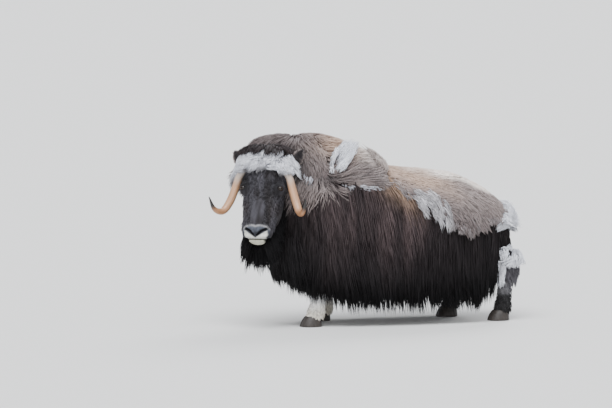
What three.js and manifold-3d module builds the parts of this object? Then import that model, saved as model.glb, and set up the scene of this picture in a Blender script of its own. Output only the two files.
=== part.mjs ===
// A life-size muskox standing with its head turned to its left, in the moult: long dark guard hair to
// the shins, a cape of loose wool over neck and hump, a felted mat of wool along the back.
// Millimetres, +Z up, the hooves on z = 0. The head is towards -X and the animal's left side towards -Y.
import * as THREE from "three";
import { mergeVertices } from "three/addons/utils/BufferGeometryUtils.js";
import Module from "manifold-3d";

const wasm = await Module();
wasm.setup();

const V = (x = 0, y = 0, z = 0) => new THREE.Vector3(x, y, z);
const rad = THREE.MathUtils.degToRad;
const { lerp, smoothstep } = THREE.MathUtils;

// Driving dimensions
const humpHigh = 1250; // over the wool, floor to the top of the hump
const bodyLong = 1400; // breast to rump, under the coat
const barrelWide = 570; // ribs, under the coat
const headLong = 525; // crown to the tip of the nose
const hornSpread = 620; // tip to tip
const legApart = 165; // each foot from the midline
const gap = 0.6; // left between neighbouring solids
const trim = 0.15; // how far a solid may move when it is simplified
const coreReach = 0.36; // how far the cores under the locks come towards their tips

const breastX = -0.357 * bodyLong;
const high = humpHigh;
const wide = barrelWide / 2;
const sides = { left: 1, right: -1 };

// Numbers that vary as a coat does, the same at every run
function seeded(seed) {
  let state = seed;
  return (low = 0, top = 1) => {
    state = (state * 1664525 + 1013904223) % 4294967296;
    return low + (top - low) * (state / 4294967296);
  };
}

function fromGeometry(geometry) {
  const bare = geometry.clone();
  bare.deleteAttribute("normal");
  bare.deleteAttribute("uv");
  const merged = mergeVertices(bare, 1e-4);
  const vertProperties = new Float32Array(merged.attributes.position.array);
  const triVerts = new Uint32Array(merged.index.array);
  const made = new wasm.Manifold(new wasm.Mesh({ numProp: 3, vertProperties, triVerts }));
  if (made.volume() >= 0) return made;
  return new wasm.Manifold(new wasm.Mesh({ numProp: 3, vertProperties, triVerts: triVerts.toReversed() }));
}

const join = (solids) => wasm.Manifold.union(solids);
const hullOf = (points) => wasm.Manifold.hull(points.map((p) => [p.x, p.y, p.z]));
const cut = (solid, ...others) => others.reduce((left, other) => left.subtract(other), solid);

// A closed solid through rings of equal length. Round ends close to their middle, slab ends in strips,
// and a last ring of one point closes to it.
function lofted(rings, slab = false) {
  const sideCount = rings[0].length;
  const pointed = rings[rings.length - 1].length === 1;
  const full = pointed ? rings.length - 1 : rings.length;
  const points = rings.flat();
  const faces = [];
  for (let r = 0; r + 1 < full; r++) {
    for (let s = 0; s < sideCount; s++) {
      const a = r * sideCount + s;
      const b = r * sideCount + ((s + 1) % sideCount);
      faces.push(a, b, b + sideCount, a, b + sideCount, a + sideCount);
    }
  }
  const closing = [0, full - 1];
  for (const end of closing) {
    const first = end * sideCount;
    const close = (a, b, c) => faces.push(...(end ? [a, b, c] : [c, b, a]));
    if (end && pointed) {
      for (let s = 0; s < sideCount; s++) close(first + s, first + ((s + 1) % sideCount), points.length - 1);
    } else if (slab || sideCount < 5) {
      for (let s = 0; s + 1 < sideCount / 2; s++) {
        const far = sideCount - 1 - s;
        close(first + s, first + s + 1, first + far);
        if (s + 1 < far - 1) close(first + s + 1, first + far - 1, first + far);
      }
    } else {
      const middle = rings[end].reduce((sum, p) => sum.add(p), V()).divideScalar(sideCount);
      const hub = points.push(middle) - 1;
      for (let s = 0; s < sideCount; s++) close(hub, first + s, first + ((s + 1) % sideCount));
    }
  }
  const geometry = new THREE.BufferGeometry().setFromPoints(points);
  geometry.setIndex(faces);
  return fromGeometry(geometry);
}

// The same rings with the end ones moved apart, so that a grown form also grows at its ends
function longer(rings, grow) {
  const middles = rings.map((ring) => ring.reduce((sum, p) => sum.add(p), V()).divideScalar(ring.length));
  const last = rings.length - 1;
  const fore = middles[0].clone().sub(middles[1]).setLength(grow);
  const aft = middles[last].clone().sub(middles[last - 1]).setLength(grow);
  for (const p of rings[0]) p.add(fore);
  for (const p of rings[last]) p.add(aft);
  return rings;
}

// Left, top and heading of a section: yaw turns it to the animal's left, pitch tips it up
function axes(yaw, pitch) {
  const flat = V(-Math.cos(rad(yaw)), -Math.sin(rad(yaw)), 0);
  const left = V(0, 0, 1).cross(flat);
  const top = flat.clone().multiplyScalar(-Math.sin(rad(pitch))).add(V(0, 0, Math.cos(rad(pitch))));
  const ahead = flat.clone().multiplyScalar(Math.cos(rad(pitch))).add(V(0, 0, Math.sin(rad(pitch))));
  return { left, top, ahead };
}

const smoothCurve = (points) => new THREE.CatmullRomCurve3(points, false, "catmullrom", 0.5);
const along = (way, normal) => way.clone().addScaledVector(normal, -way.dot(normal)).normalize();

// A body form through stations. Angle 0 is the top of a section, and 90 degrees is its left.
class Form {
  constructor(stations, fullness = 2) {
    this.centre = smoothCurve(stations.map((s) => V(s.x, s.y ?? 0, s.z)));
    this.size = smoothCurve(stations.map((s) => V(s.wide, s.up, s.down)));
    this.turn = smoothCurve(stations.map((s) => V(s.yaw ?? 0, s.pitch ?? 0, 0)));
    this.power = 2 / fullness;
  }

  point(t, angle, grow = 0) {
    const size = this.size.getPoint(t);
    const turn = this.turn.getPoint(t);
    const { left, top } = axes(turn.x, turn.y);
    const across = Math.sin(rad(angle));
    const upward = Math.cos(rad(angle));
    const swell = (v) => Math.sign(v) * Math.abs(v) ** this.power;
    return this.centre
      .getPoint(t)
      .addScaledVector(left, swell(across) * (size.x + grow))
      .addScaledVector(top, swell(upward) * ((upward > 0 ? size.y : size.z) + grow));
  }

  // How far the surface moves per unit of t and per degree
  slopes(t, angle) {
    const low = Math.max(0, t - 0.01);
    const top = Math.min(1, t + 0.01);
    const lengthwise = this.point(top, angle).sub(this.point(low, angle)).divideScalar(top - low);
    const round = this.point(t, angle + 2).sub(this.point(t, angle - 2)).divideScalar(4);
    return { lengthwise, round };
  }

  normal(t, angle) {
    const { lengthwise, round } = this.slopes(t, angle);
    const out = lengthwise.cross(round).normalize();
    const away = this.point(t, angle).sub(this.centre.getPoint(t));
    return out.dot(away) < 0 ? out.negate() : out;
  }

  solid(grow, rings, sideCount) {
    const made = [];
    for (let r = 0; r <= rings; r++) {
      const ring = [];
      for (let s = 0; s < sideCount; s++) ring.push(this.point(r / rings, (360 * s) / sideCount, grow));
      made.push(ring);
    }
    return lofted(longer(made, grow));
  }

  // A slab lying on the form from t = from to t = to, between the angles that edges(share) gives
  patch(from, to, edges, thick, grow, steps, spans) {
    const rings = [];
    for (let i = 0; i <= steps; i++) {
      const t = lerp(from, to, i / steps);
      const [low, top] = edges(i / steps);
      const outer = [];
      const inner = [];
      for (let j = 0; j <= spans; j++) {
        const angle = lerp(low, top, j / spans);
        const edge = j === 0 || j === spans || i === 0 || i === steps;
        outer.push(this.point(t, angle, (edge ? thick * 0.4 : thick) + 2 * grow));
        inner.unshift(this.point(t, angle, -16 - 2 * grow));
      }
      rings.push([...outer, ...inner]);
    }
    return lofted(longer(rings, 2 * grow), true);
  }

  // The way hair takes from a root: over the form where that faces up, and free of it where it turns under
  flow(t, angle, long, way, skip = 0, front = null) {
    const steps = 10;
    const path = [];
    let free = false;
    let spot = this.point(t, angle);
    let out = this.normal(t, angle);
    if (skip) {
      spot.z -= skip;
      out = V(out.x, out.y, 0).normalize();
      free = true;
    }
    for (let i = 0; i <= steps; i++) {
      path.push({ spot: spot.clone(), out: out.clone(), normal: out.clone() });
      const stride = way(spot, angle).normalize();
      free ||= out.z < -0.02 || t <= 0 || t >= 1;
      if (free) {
        out = along(front ?? V(out.x, out.y, Math.max(0, out.z)), stride);
        path[i].out = out.clone();
        spot.addScaledVector(stride, long / steps);
      } else {
        const { lengthwise, round } = this.slopes(t, angle);
        const step = along(stride, out).multiplyScalar(long / steps);
        const [a, b, c] = [lengthwise.dot(lengthwise), lengthwise.dot(round), round.dot(round)];
        const [d, e] = [lengthwise.dot(step), round.dot(step)];
        t = Math.min(1, Math.max(0, t + (d * c - e * b) / (a * c - b * b)));
        angle += (a * e - b * d) / (a * c - b * b);
        spot = this.point(t, angle);
        out = this.normal(t, angle);
      }
    }
    return path;
  }
}

// How a lock of hair and a clump of wool swell and taper: share of the length, breadth, height
const hairTaper = [
  [0, 0.6, 0.8],
  [0.16, 1, 1],
  [0.82, 0.74, 0.7],
];
const woolTaper = [
  [0, 0.7, 0.8],
  [0.35, 1, 1],
  [0.78, 0.8, 0.75],
];

// A lock: flat below, ridged above, sunk at the root and lying at its own layer over the form
function lock(path, shape, grow = 0) {
  const { broad, thick, sink, depth = 0, layer = 0, flare = 0, sway = 0, taper = hairTaper, arc = 2 } = shape;
  const last = path.length - 1;
  const place = (share) => {
    const at = share * last;
    const i = Math.min(last - 1, Math.floor(at));
    const spot = path[i].spot.clone().lerp(path[i + 1].spot, at - i);
    const out = path[i].out.clone().lerp(path[i + 1].out, at - i).normalize();
    const way = along(path[i + 1].spot.clone().sub(path[i].spot), out);
    const across = V().crossVectors(way, out);
    spot.addScaledVector(across, sway * share * share);
    if (share) spot.addScaledVector(out, depth + layer + flare * share);
    else spot.addScaledVector(path[0].normal, depth - sink);
    return { spot, out, way, across };
  };
  const rings = taper.map(([share, width, height]) => {
    const { spot, out, way, across } = place(share);
    if (!share) spot.addScaledVector(way, -0.5 * grow);
    const half = (broad / 2) * width + (arc === 2 ? 11 : 4) * grow;
    const ridge = thick * height + 3 * grow;
    const ring = [];
    for (let k = 0; k <= arc; k++) {
      const turn = (Math.PI * k) / arc;
      ring.push(
        spot
          .clone()
          .addScaledVector(across, Math.cos(turn) * half)
          .addScaledVector(out, Math.sin(turn) * ridge - 1.5 * grow),
      );
    }
    return ring;
  });
  const tip = place(1);
  rings.push([tip.spot.addScaledVector(tip.way, 12 * grow).addScaledVector(tip.out, thick * 0.2)]);
  const pieces = [];
  for (let r = 0; r + 1 < rings.length; r++) pieces.push(hullOf([...rings[r], ...rings[r + 1]]));
  return join(pieces);
}

// Locks in rows over a form. A row has its angle, count, span and shape, and either a length or a level
// that its tips come down to. Every other lock lies a little higher than its neighbours.
function coat(form, rows, seed, grow) {
  const vary = seeded(seed);
  const locks = [];
  for (const row of rows) {
    for (let i = 0; i < row.count; i++) {
      const share = (i + 0.5 + vary(-0.2, 0.2)) / row.count;
      const t = lerp(row.from, row.to, share);
      const angle = row.angle + (row.climb ?? 0) * share + vary(-2.5, 2.5);
      const root = form.point(t, angle);
      const vary1 = vary(0.93, 1.07);
      const over = Math.abs(root.y - form.centre.getPoint(t).y);
      const fall = root.z - (row.skip ?? 0) + 0.16 * over * Math.cos(rad(angle));
      const long = (row.tip ? fall - row.tip(root.x) : row.long) * vary1;
      const layer = row.shape.layer + (i % 2) * (row.step ?? 7);
      const broad = row.shape.broad * vary(0.88, 1.14);
      const shape = { ...row.shape, layer, broad, sway: vary(-0.08, 0.08) * long };
      locks.push(lock(form.flow(t, angle, long, row.way, row.skip, row.front), shape, grow));
    }
  }
  return locks;
}

// The body under the coat, from breast to rump
const torso = new Form(
  [
    { x: 0, z: 0.58, wide: 0.4, up: 0.12, down: 0.14 },
    { x: 0.04, z: 0.59, wide: 0.68, up: 0.21, down: 0.2 },
    { x: 0.12, z: 0.596, wide: 0.86, up: 0.272, down: 0.232 },
    { x: 0.25, z: 0.584, wide: 0.96, up: 0.256, down: 0.24 },
    { x: 0.429, z: 0.56, wide: 1, up: 0.196, down: 0.224 },
    { x: 0.6, z: 0.552, wide: 1, up: 0.18, down: 0.212 },
    { x: 0.757, z: 0.544, wide: 0.94, up: 0.164, down: 0.18 },
    { x: 0.871, z: 0.512, wide: 0.82, up: 0.144, down: 0.16 },
    { x: 0.95, z: 0.472, wide: 0.58, up: 0.104, down: 0.12 },
    { x: 0.986, z: 0.448, wide: 0.26, up: 0.056, down: 0.064 },
  ].map((s) => ({
    x: breastX + s.x * bodyLong,
    z: s.z * high,
    wide: s.wide * wide,
    up: s.up * high,
    down: s.down * high,
  })),
  2.2,
);
const torsoSolid = (grow) => torso.solid(grow, 12, 12);
function torsoAt(x) {
  let low = 0;
  let top = 1;
  for (let i = 0; i < 30; i++) {
    const middle = (low + top) / 2;
    if (torso.centre.getPoint(middle).x < x) low = middle;
    else top = middle;
  }
  return (low + top) / 2;
}

// The hair of the flanks hangs to the shins, and a little higher round the fore legs and behind the hind ones
const hemLine = (x) => 82 + 100 * (1 - smoothstep(x, -430, -270)) + 70 * smoothstep(x, 650, 800);
const downward = (slant) => () => V(slant, 0, -1);
const hair = { broad: 134, thick: 11, sink: 12, layer: 4, flare: 10 };

// How high on the body the skirt begins: low under the cape and the mat, high between them
const skirtTop = (x) => 40 + 28 * (1 - smoothstep(x, -170, 10)) + 40 * smoothstep(x, 300, 560);
const skirtDeep = lerp(6, 84, coreReach * 0.6);
const skirtLow = 98; // the angle round the body from which it hangs free
const skirtEdge = 14; // thickness at its hem
const skirtFrom = torsoAt(-440);
const skirtTo = torsoAt(772);
function skirtCore(side, grow) {
  const rings = [];
  const steps = 8;
  for (let i = 0; i <= steps; i++) {
    const t = lerp(skirtFrom, skirtTo, i / steps);
    const end = i === 0 || i === steps ? 0.5 : 1;
    const thick = skirtDeep * end + 2 * grow;
    const top = skirtTop(torso.centre.getPoint(t).x) - 0.4 * grow;
    const outer = [];
    const inner = [];
    for (const share of [0, 0.5, 1]) {
      const angle = side * lerp(top, skirtLow, share);
      outer.push(torso.point(t, angle, share ? thick : thick * 0.4));
      inner.unshift(torso.point(t, angle, -16 - 2 * grow));
    }
    const brink = outer[outer.length - 1];
    const hem = lerp(brink.z, hemLine(brink.x) + 8, coreReach) - grow;
    outer.push(V(brink.x, brink.y, hem));
    inner.unshift(V(inner[0].x, brink.y + side * (skirtEdge + 4 * grow), hem));
    rings.push([...outer, ...inner]);
  }
  return lofted(longer(rings, 2 * grow), true);
}
const skirtSpan = (from, to) => ({ from: torsoAt(from), to: torsoAt(to) });
const skirtRows = [
  { angle: skirtLow, skip: 140, count: 11, ...skirtSpan(-432, 765), tip: (x) => hemLine(x) - 20 },
  { angle: skirtLow, skip: 10, count: 10, ...skirtSpan(-438, 765), tip: (x) => hemLine(x) + 45 },
  { angle: 78, count: 7, ...skirtSpan(-420, 430), tip: (x) => hemLine(x) + 270 },
  { angle: 55, count: 4, ...skirtSpan(-70, 270), tip: (x) => hemLine(x) + 450 },
];
function skirt(side, grow) {
  const rows = skirtRows.map((row, index) => ({
    ...row,
    angle: side * row.angle,
    way: downward(0.12),
    step: 8,
    shape: { ...hair, depth: skirtDeep, layer: 4 + 12 * index },
  }));
  return join([skirtCore(side, grow), ...coat(torso, rows, 11 + side, grow)]);
}

// The neck and the deep breast below it
const neck = new Form([
  { x: -690, y: -40, z: 925, yaw: 40, pitch: -20, wide: 100, up: 95, down: 110 },
  { x: -625, y: -10, z: 900, yaw: 30, pitch: -8, wide: 140, up: 150, down: 185 },
  { x: -550, y: 5, z: 850, yaw: 14, pitch: 2, wide: 172, up: 215, down: 275 },
  { x: -470, y: 0, z: 800, yaw: 4, pitch: 2, wide: 188, up: 270, down: 330 },
  { x: -380, y: 0, z: 780, yaw: 0, pitch: 0, wide: 180, up: 270, down: 320 },
]);
// The hair under the throat and breast comes down in a curtain, higher towards the head
const breastTip = (x) => 130 + Math.max(0, -x - 450) * 0.9;
const breast = new Form([
  { x: -500, z: 640, pitch: -90, wide: 150, up: 120, down: 110 },
  { x: -502, z: 500, pitch: -90, wide: 175, up: 108, down: 95 },
  { x: -495, z: 360, pitch: -90, wide: 190, up: 80, down: 70 },
  { x: -480, z: 190, pitch: -90, wide: 180, up: 30, down: 30 },
]);
const breastRows = [
  { from: 0.24, to: 0.24, count: 7, tip: breastTip },
  { from: 0.02, to: 0.02, count: 5, tip: (x) => breastTip(x) + 90 },
];
const throatRows = [
  { angle: 180, from: 0.2, to: 0.3, count: 1, front: V(-1, 0, 0) },
  { angle: 140, from: 0.1, to: 0.5, count: 2, front: V(-1, -1, 0) },
  { angle: -140, from: 0.1, to: 0.5, count: 2, front: V(-1, 1, 0) },
  { angle: 112, from: 0.2, to: 0.8, count: 2 },
  { angle: -112, from: 0.4, to: 0.6, count: 1 },
];
function neckSolid(grow) {
  const shape = { ...hair, thick: 13, broad: 128 };
  const around = breastRows.map((row, index) => ({
    ...row,
    angle: -148,
    climb: 296,
    way: downward(0),
    step: 9,
    shape: { ...shape, layer: 4 + 14 * index },
  }));
  const throat = throatRows.map((row) => ({
    ...row,
    tip: (x) => breastTip(x) + 90 + 1.6 * (180 - Math.abs(row.angle)),
    way: downward(0),
    step: 12,
    shape: { ...shape, sink: 26, layer: 12 },
  }));
  const curtain = curtainSolid(breast, lerp(0.3, 1, coreReach), grow);
  const locks = [...coat(breast, around, 83, grow), ...coat(neck, throat, 89, grow)];
  return join([neck.solid(grow, 5, 10), curtain, ...locks]);
}
function curtainSolid(form, share, grow) {
  const rings = [];
  for (let r = 0; r <= 4; r++) {
    const ring = [];
    for (let s = 0; s < 10; s++) ring.push(form.point((share * r) / 4, 36 * s, grow));
    rings.push(ring);
  }
  return lofted(longer(rings, grow));
}

// The cape of loose wool over the neck, hump and shoulders
const cape = new Form(
  [
    { x: -748, y: 66, z: 1030, yaw: 0, wide: 50, up: 60, down: 60 },
    { x: -700, y: 58, z: 1012, wide: 110, up: 132, down: 130 },
    { x: -590, y: 36, z: 990, wide: 160, up: 178, down: 170 },
    { x: -460, y: 14, z: 975, wide: 208, up: 196, down: 190 },
    { x: -320, z: 965, wide: 262, up: 200, down: 185 },
    { x: -170, z: 945, wide: 285, up: 172, down: 165 },
    { x: -20, z: 905, wide: 275, up: 140, down: 130 },
    { x: 70, z: 880, wide: 215, up: 86, down: 90 },
  ],
  2.1,
);
const wool = { broad: 150, thick: 48, sink: 26, layer: -14, flare: 16, taper: woolTaper, arc: 3 };
function capeWay(spot, angle) {
  const bow = Math.abs(Math.sin(rad(angle)));
  return V(0.7 - 0.45 * bow, 0, -1.1 * bow);
}
const capeLanes = [
  { angle: 0, count: 5, flare: 4 },
  { angle: 40, count: 4, flare: 10 },
  { angle: 80, count: 5, flare: 12 },
];
function capeSolid(grow) {
  const rows = [];
  for (const side of [1, -1]) {
    for (const lane of capeLanes) {
      if (!lane.angle && side < 0) continue;
      rows.push({
        ...lane,
        angle: side * lane.angle,
        from: 0.1,
        to: 0.93,
        long: 200,
        way: capeWay,
        step: 11,
        shape: { ...wool, flare: lane.flare },
      });
    }
  }
  rows.push({
    angle: -120,
    climb: 240,
    count: 5,
    from: 0.17,
    to: 0.17,
    long: 118,
    way: (spot, angle) => V(-0.5, -Math.sin(rad(angle)), Math.cos(rad(angle))),
    shape: { ...wool, broad: 100, flare: 20 },
  });
  return join([cape.solid(grow + lerp(-22, 30, coreReach), 7, 10), ...coat(cape, rows, 67, grow)]);
}

// The felted mat from behind the hump to the rump. It hangs lowest over the hips.
const matFrom = torsoAt(140);
const matTo = torsoAt(838);
const matEdge = (share) => 36 + 64 * smoothstep(share, 0.05, 0.62);
const matThick = lerp(10, 44, coreReach);
function mat(grow) {
  const edges = (share) => [-matEdge(share) - 0.4 * grow, matEdge(share) + 0.4 * grow];
  const slab = torso.patch(matFrom, matTo, edges, matThick, grow, 6, 6);
  const rows = [];
  const clump = { ...wool, broad: 175, thick: 34, sink: 20, depth: matThick };
  for (const lane of [-1, -0.5, 0, 0.5, 1]) {
    const begin = 0.06 + 0.14 * Math.abs(lane);
    rows.push({
      angle: matEdge(begin) * lane * 0.94,
      climb: (matEdge(1) - matEdge(begin)) * lane * 0.94,
      count: lane ? 4 : 5,
      from: lerp(matFrom, matTo, begin - 0.05),
      to: lerp(matFrom, matTo, 0.9),
      long: 185,
      way: (spot, angle) => V(1, 0, -1.6 * Math.abs(lane)),
      step: 11,
      shape: { ...clump, flare: Math.abs(lane) === 1 ? 26 : 12 },
    });
  }
  return join([slab, ...coat(torso, rows, 41, grow)]);
}

// The head frame: a point by its distance from the crown along the face, its side, and its rise over the face
const headYaw = 58;
const headPitch = -58;
const crown = V(-724, -124, 1066);
const headAxes = axes(headYaw, headPitch);
const onHead = (face, side, rise) =>
  crown
    .clone()
    .addScaledVector(headAxes.ahead, (face * headLong) / 470)
    .addScaledVector(headAxes.left, side)
    .addScaledVector(headAxes.top, rise);
const headStations = (list) =>
  list.map(([face, rise, half, up, below]) => {
    const { x, y, z } = onHead(face, 0, rise);
    return { x, y, z, yaw: headYaw, pitch: headPitch, wide: half, up, down: below };
  });
const skull = new Form(
  headStations([
    [-112, -132, 78, 56, 62],
    [-70, -126, 118, 100, 100],
    [15, -124, 136, 118, 126],
    [110, -122, 142, 112, 134],
    [205, -114, 122, 94, 110],
    [300, -106, 103, 74, 80],
    [380, -100, 98, 64, 60],
    [432, -98, 98, 58, 48],
    [464, -100, 80, 44, 36],
    [474, -101, 48, 26, 20],
  ]),
  2.3,
);
const jaw = new Form(
  headStations([
    [60, -205, 66, 50, 44],
    [130, -205, 86, 60, 58],
    [240, -186, 70, 48, 42],
    [345, -164, 68, 34, 30],
    [415, -154, 68, 28, 28],
    [450, -152, 54, 20, 20],
    [460, -152, 30, 11, 11],
  ]),
  2.2,
);

const eyeRadius = 19;
const eyeAt = (side) => onHead(171, side * 120, -58);
const eyeLook = (side) =>
  V()
    .addScaledVector(headAxes.left, side * 0.84)
    .addScaledVector(headAxes.top, 0.5)
    .addScaledVector(headAxes.ahead, 0.2)
    .normalize();
function ball(place, radii, frame, grow, detail = 14) {
  const geometry = new THREE.SphereGeometry(1, detail, Math.round(detail * 0.6));
  geometry.scale(radii[0] + grow, radii[1] + grow, radii[2] + grow);
  const turn = new THREE.Matrix4().makeBasis(...frame).setPosition(place);
  return fromGeometry(geometry.applyMatrix4(turn));
}
const headBasis = [headAxes.left, headAxes.ahead, headAxes.top];
function eyeBasis(side) {
  const look = eyeLook(side);
  const lidUp = along(headAxes.ahead.clone().negate(), look);
  return [V().crossVectors(lidUp, look), lidUp, look];
}
const eyeSolid = (side, grow) =>
  ball(eyeAt(side), [eyeRadius, eyeRadius, eyeRadius], eyeBasis(side), grow, 11);
function lid(side, grow) {
  const ring = new THREE.TorusGeometry(eyeRadius * 0.98, 6.5 + 1.6 * grow, 4, 10);
  ring.scale(1.2, 0.82, 1);
  const frame = eyeBasis(side);
  const place = eyeAt(side).addScaledVector(frame[2], eyeRadius * 0.52);
  return fromGeometry(ring.applyMatrix4(new THREE.Matrix4().makeBasis(...frame).setPosition(place)));
}

// The horns sweep down the cheeks, then out, forwards and up to their tips
const hornCourse = [
  // out as a share of half the spread, forward of the crown, below it, thickness from the middle
  [0.32, -16, -62, 42],
  [0.51, -8, -124, 38],
  [0.59, 10, -196, 34],
  [0.69, 34, -284, 31],
  [0.8, 78, -338, 25],
  [0.92, 140, -318, 15],
  [1, 176, -240, 3],
];
function horn(side, grow, rings = 13, sideCount = 8) {
  const front = axes(headYaw, 0).ahead;
  const path = smoothCurve(
    hornCourse.map(([out, forward, drop]) =>
      crown
        .clone()
        .addScaledVector(headAxes.left, (side * out * hornSpread) / 2)
        .addScaledVector(front, forward)
        .add(V(0, 0, drop)),
    ),
  );
  const radii = smoothCurve(hornCourse.map((row) => V(row[3], 0, 0)));
  const made = [];
  for (let r = 0; r <= rings; r++) {
    const t = r / rings;
    const tangent = path.getTangent(t);
    const forward = along(front, tangent);
    const outward = V().crossVectors(tangent, forward);
    const flat = lerp(0.74, 1, smoothstep(t, 0, 0.6));
    const radius = Math.max(1.5, radii.getPoint(t).x) + grow;
    const ring = [];
    for (let s = 0; s < sideCount; s++) {
      const turn = (2 * Math.PI * s) / sideCount;
      ring.push(
        path
          .getPoint(t)
          .addScaledVector(forward, Math.cos(turn) * radius)
          .addScaledVector(outward, Math.sin(turn) * radius * flat),
      );
    }
    made.push(ring);
  }
  return lofted(longer(made, grow));
}

// Ears: a pointed leaf with a hollow cup. The right one stands up, and the left one lies out level.
const earLong = 145;
const earLie = {
  1: { outward: 0.86, forward: 0.5, upward: -0.08 },
  "-1": { outward: 0.5, forward: 0.05, upward: 0.86 },
};
function ear(side, grow, cup) {
  const lie = earLie[side];
  const level = axes(headYaw, 0).ahead;
  const root = onHead(-6, side * 128, -92);
  const out = V(0, 0, lie.upward)
    .addScaledVector(headAxes.left, side * lie.outward)
    .addScaledVector(level, lie.forward)
    .normalize();
  const face = along(level, out);
  const across = V().crossVectors(out, face);
  const profile = [
    [-0.12, 0.55],
    [0.1, 0.72],
    [0.4, 1],
    [0.75, 0.74],
    [1, 0.1],
  ];
  const rings = profile.map(([share, half]) => {
    const ring = [];
    for (let s = 0; s < 8; s++) {
      const turn = (2 * Math.PI * s) / 8;
      const broad = (cup ? 25 : 34) * half + grow;
      const deep = (cup ? 14 : 17) * half + grow;
      const reach = cup ? 0.28 + share * 0.6 : share;
      ring.push(
        root
          .clone()
          .addScaledVector(out, reach * earLong)
          .addScaledVector(across, Math.cos(turn) * broad)
          .addScaledVector(face, Math.sin(turn) * deep + (cup ? 12 : 0)),
      );
    }
    return ring;
  });
  return lofted(longer(rings, grow));
}

// Skull, jaw, orbits, nostril wings and lips, with the beard under the jaw
function headMass(grow) {
  const parts = [skull.solid(grow, 10, 12), jaw.solid(grow, 6, 8)];
  for (const side of [1, -1]) {
    parts.push(ball(onHead(162, side * 103, -62), [36, 48, 42], headBasis, grow, 8));
    parts.push(ball(onHead(438, side * 44, -80), [36, 30, 32], headBasis, grow, 8));
    parts.push(lid(side, grow));
  }
  parts.push(ball(onHead(438, 0, -130), [76, 34, 26], headBasis, grow, 10));
  const beardReach = lerp(60, 230, coreReach);
  const chin = [0.2, 0.5, 0.86].map((t) => jaw.point(t, 180, -20));
  const beardRings = [0, 0.5, 1].map((drop) => {
    const ring = [];
    for (let s = 0; s < 10; s++) {
      const turn = (2 * Math.PI * s) / 10;
      const middle = chin[0].clone().lerp(chin[2], 0.5 + 0.5 * Math.cos(turn) * (1 - 0.5 * drop));
      middle.addScaledVector(headAxes.left, Math.sin(turn) * (lerp(60, 34, drop) + grow));
      ring.push(middle.add(V(0, 0, -drop * beardReach)));
    }
    return ring;
  });
  parts.push(lofted(longer(beardRings, grow)));
  const beard = { ...hair, broad: 98, thick: 16, layer: 6, flare: 8, sink: 22 };
  const rows = [{ angle: 180, from: 0.8, to: 0.9, count: 1, front: axes(headYaw - 35, 0).ahead }];
  for (const side of [1, -1]) {
    rows.push({ angle: side * 140, from: 0.1, to: 0.84, count: 3, front: axes(headYaw - side * 35, 0).ahead });
  }
  const hanging = rows.map((row) => ({ ...row, long: 158, way: downward(0), shape: beard }));
  parts.push(...coat(jaw, hanging, 131, grow));
  return join(parts);
}
function headSolid() {
  const mouth = new THREE.BoxGeometry(240, 200, 5);
  const mouthTurn = new THREE.Matrix4().makeBasis(...headBasis).setPosition(onHead(430, 0, -141));
  const mouthSlab = fromGeometry(mouth.applyMatrix4(mouthTurn));
  const inside = join([skull.solid(-10, 8, 10), jaw.solid(-10, 5, 8)]);
  let made = headMass(0).subtract(mouthSlab.subtract(inside));
  for (const side of [1, -1]) {
    const outward = headAxes.left.clone().multiplyScalar(side * 0.92).addScaledVector(headAxes.top, 0.38);
    const slant = [outward.normalize(), headAxes.ahead, V()];
    slant[2].crossVectors(slant[0], slant[1]);
    made = cut(
      made,
      ball(onHead(462, side * 44, -72), [24, 24, 9], slant, 0, 10), // nostril
      eyeSolid(side, gap),
      horn(side, gap),
      ear(side, gap, false),
    );
  }
  return made;
}

// The white hair over the forehead and the roots of the horns
const brow = new Form(
  headStations([
    [-70, -100, 90, 70, 40],
    [-40, -92, 160, 96, 60],
    [18, -92, 182, 104, 70],
    [60, -98, 172, 104, 70],
    [84, -104, 130, 92, 50],
  ]),
  2.1,
);
function forelock(grow) {
  const rows = [];
  for (const angle of [-72, -24, 24, 72]) {
    rows.push({
      angle,
      from: 0.16,
      to: 0.86,
      count: 2,
      long: 92,
      way: (spot, turned) =>
        headAxes.ahead
          .clone()
          .addScaledVector(headAxes.left, 0.8 * Math.sin(rad(turned)))
          .add(V(0, 0, -0.1)),
      shape: { ...wool, broad: 112, thick: 28, sink: 16, layer: 2, flare: 12 },
    });
  }
  return join([brow.solid(grow + lerp(-12, 14, coreReach), 5, 10), ...coat(brow, rows, 173, grow)]);
}

// Legs from the elbow or the hip down. The near fore foot is forwards, the near hind foot backwards.
const foreStep = { 1: 0, "-1": 165 };
const hindStep = { 1: 0, "-1": -230 };
const leg = (side, step, list) =>
  new Form(
    list.map(([x, y, z, half, front, back, share]) => ({
      x: x + step * share,
      y: -side * y,
      z,
      pitch: -90,
      wide: half,
      up: front,
      down: back,
    })),
    2.1,
  );
const foreLeg = (side) =>
  leg(side, foreStep[side], [
    [-300, 130, 600, 60, 80, 80, 0],
    [-308, 150, 480, 66, 76, 80, 0.15],
    [-335, legApart, 360, 54, 56, 60, 0.45],
    [-368, legApart, 250, 47, 48, 46, 0.75],
    [-388, legApart, 160, 40, 40, 42, 0.95],
    [-402, legApart, 95, 49, 48, 53, 1],
    [-412, legApart, 58, 48, 52, 46, 1],
  ]);
const foreSolid = (side, grow) => foreLeg(side).solid(grow, 9, 10);
const thigh = (side) =>
  leg(side, hindStep[side], [
    [600, 110, 690, 60, 110, 120, 0],
    [640, 128, 600, 80, 150, 150, 0.05],
    [690, 138, 520, 80, 140, 120, 0.2],
    [765, legApart - 12, 450, 64, 98, 78, 0.5],
    [845, legApart, 405, 50, 60, 50, 0.85],
  ]);
const shank = (side) =>
  leg(side, hindStep[side], [
    [835, legApart, 425, 47, 58, 48, 0.8],
    [882, legApart, 375, 46, 50, 50, 0.95],
    [876, legApart, 310, 41, 44, 44, 0.97],
    [856, legApart, 220, 40, 42, 42, 1],
    [846, legApart, 150, 42, 42, 44, 1],
    [840, legApart, 98, 48, 48, 52, 1],
    [832, legApart, 58, 48, 52, 46, 1],
  ]);
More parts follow.
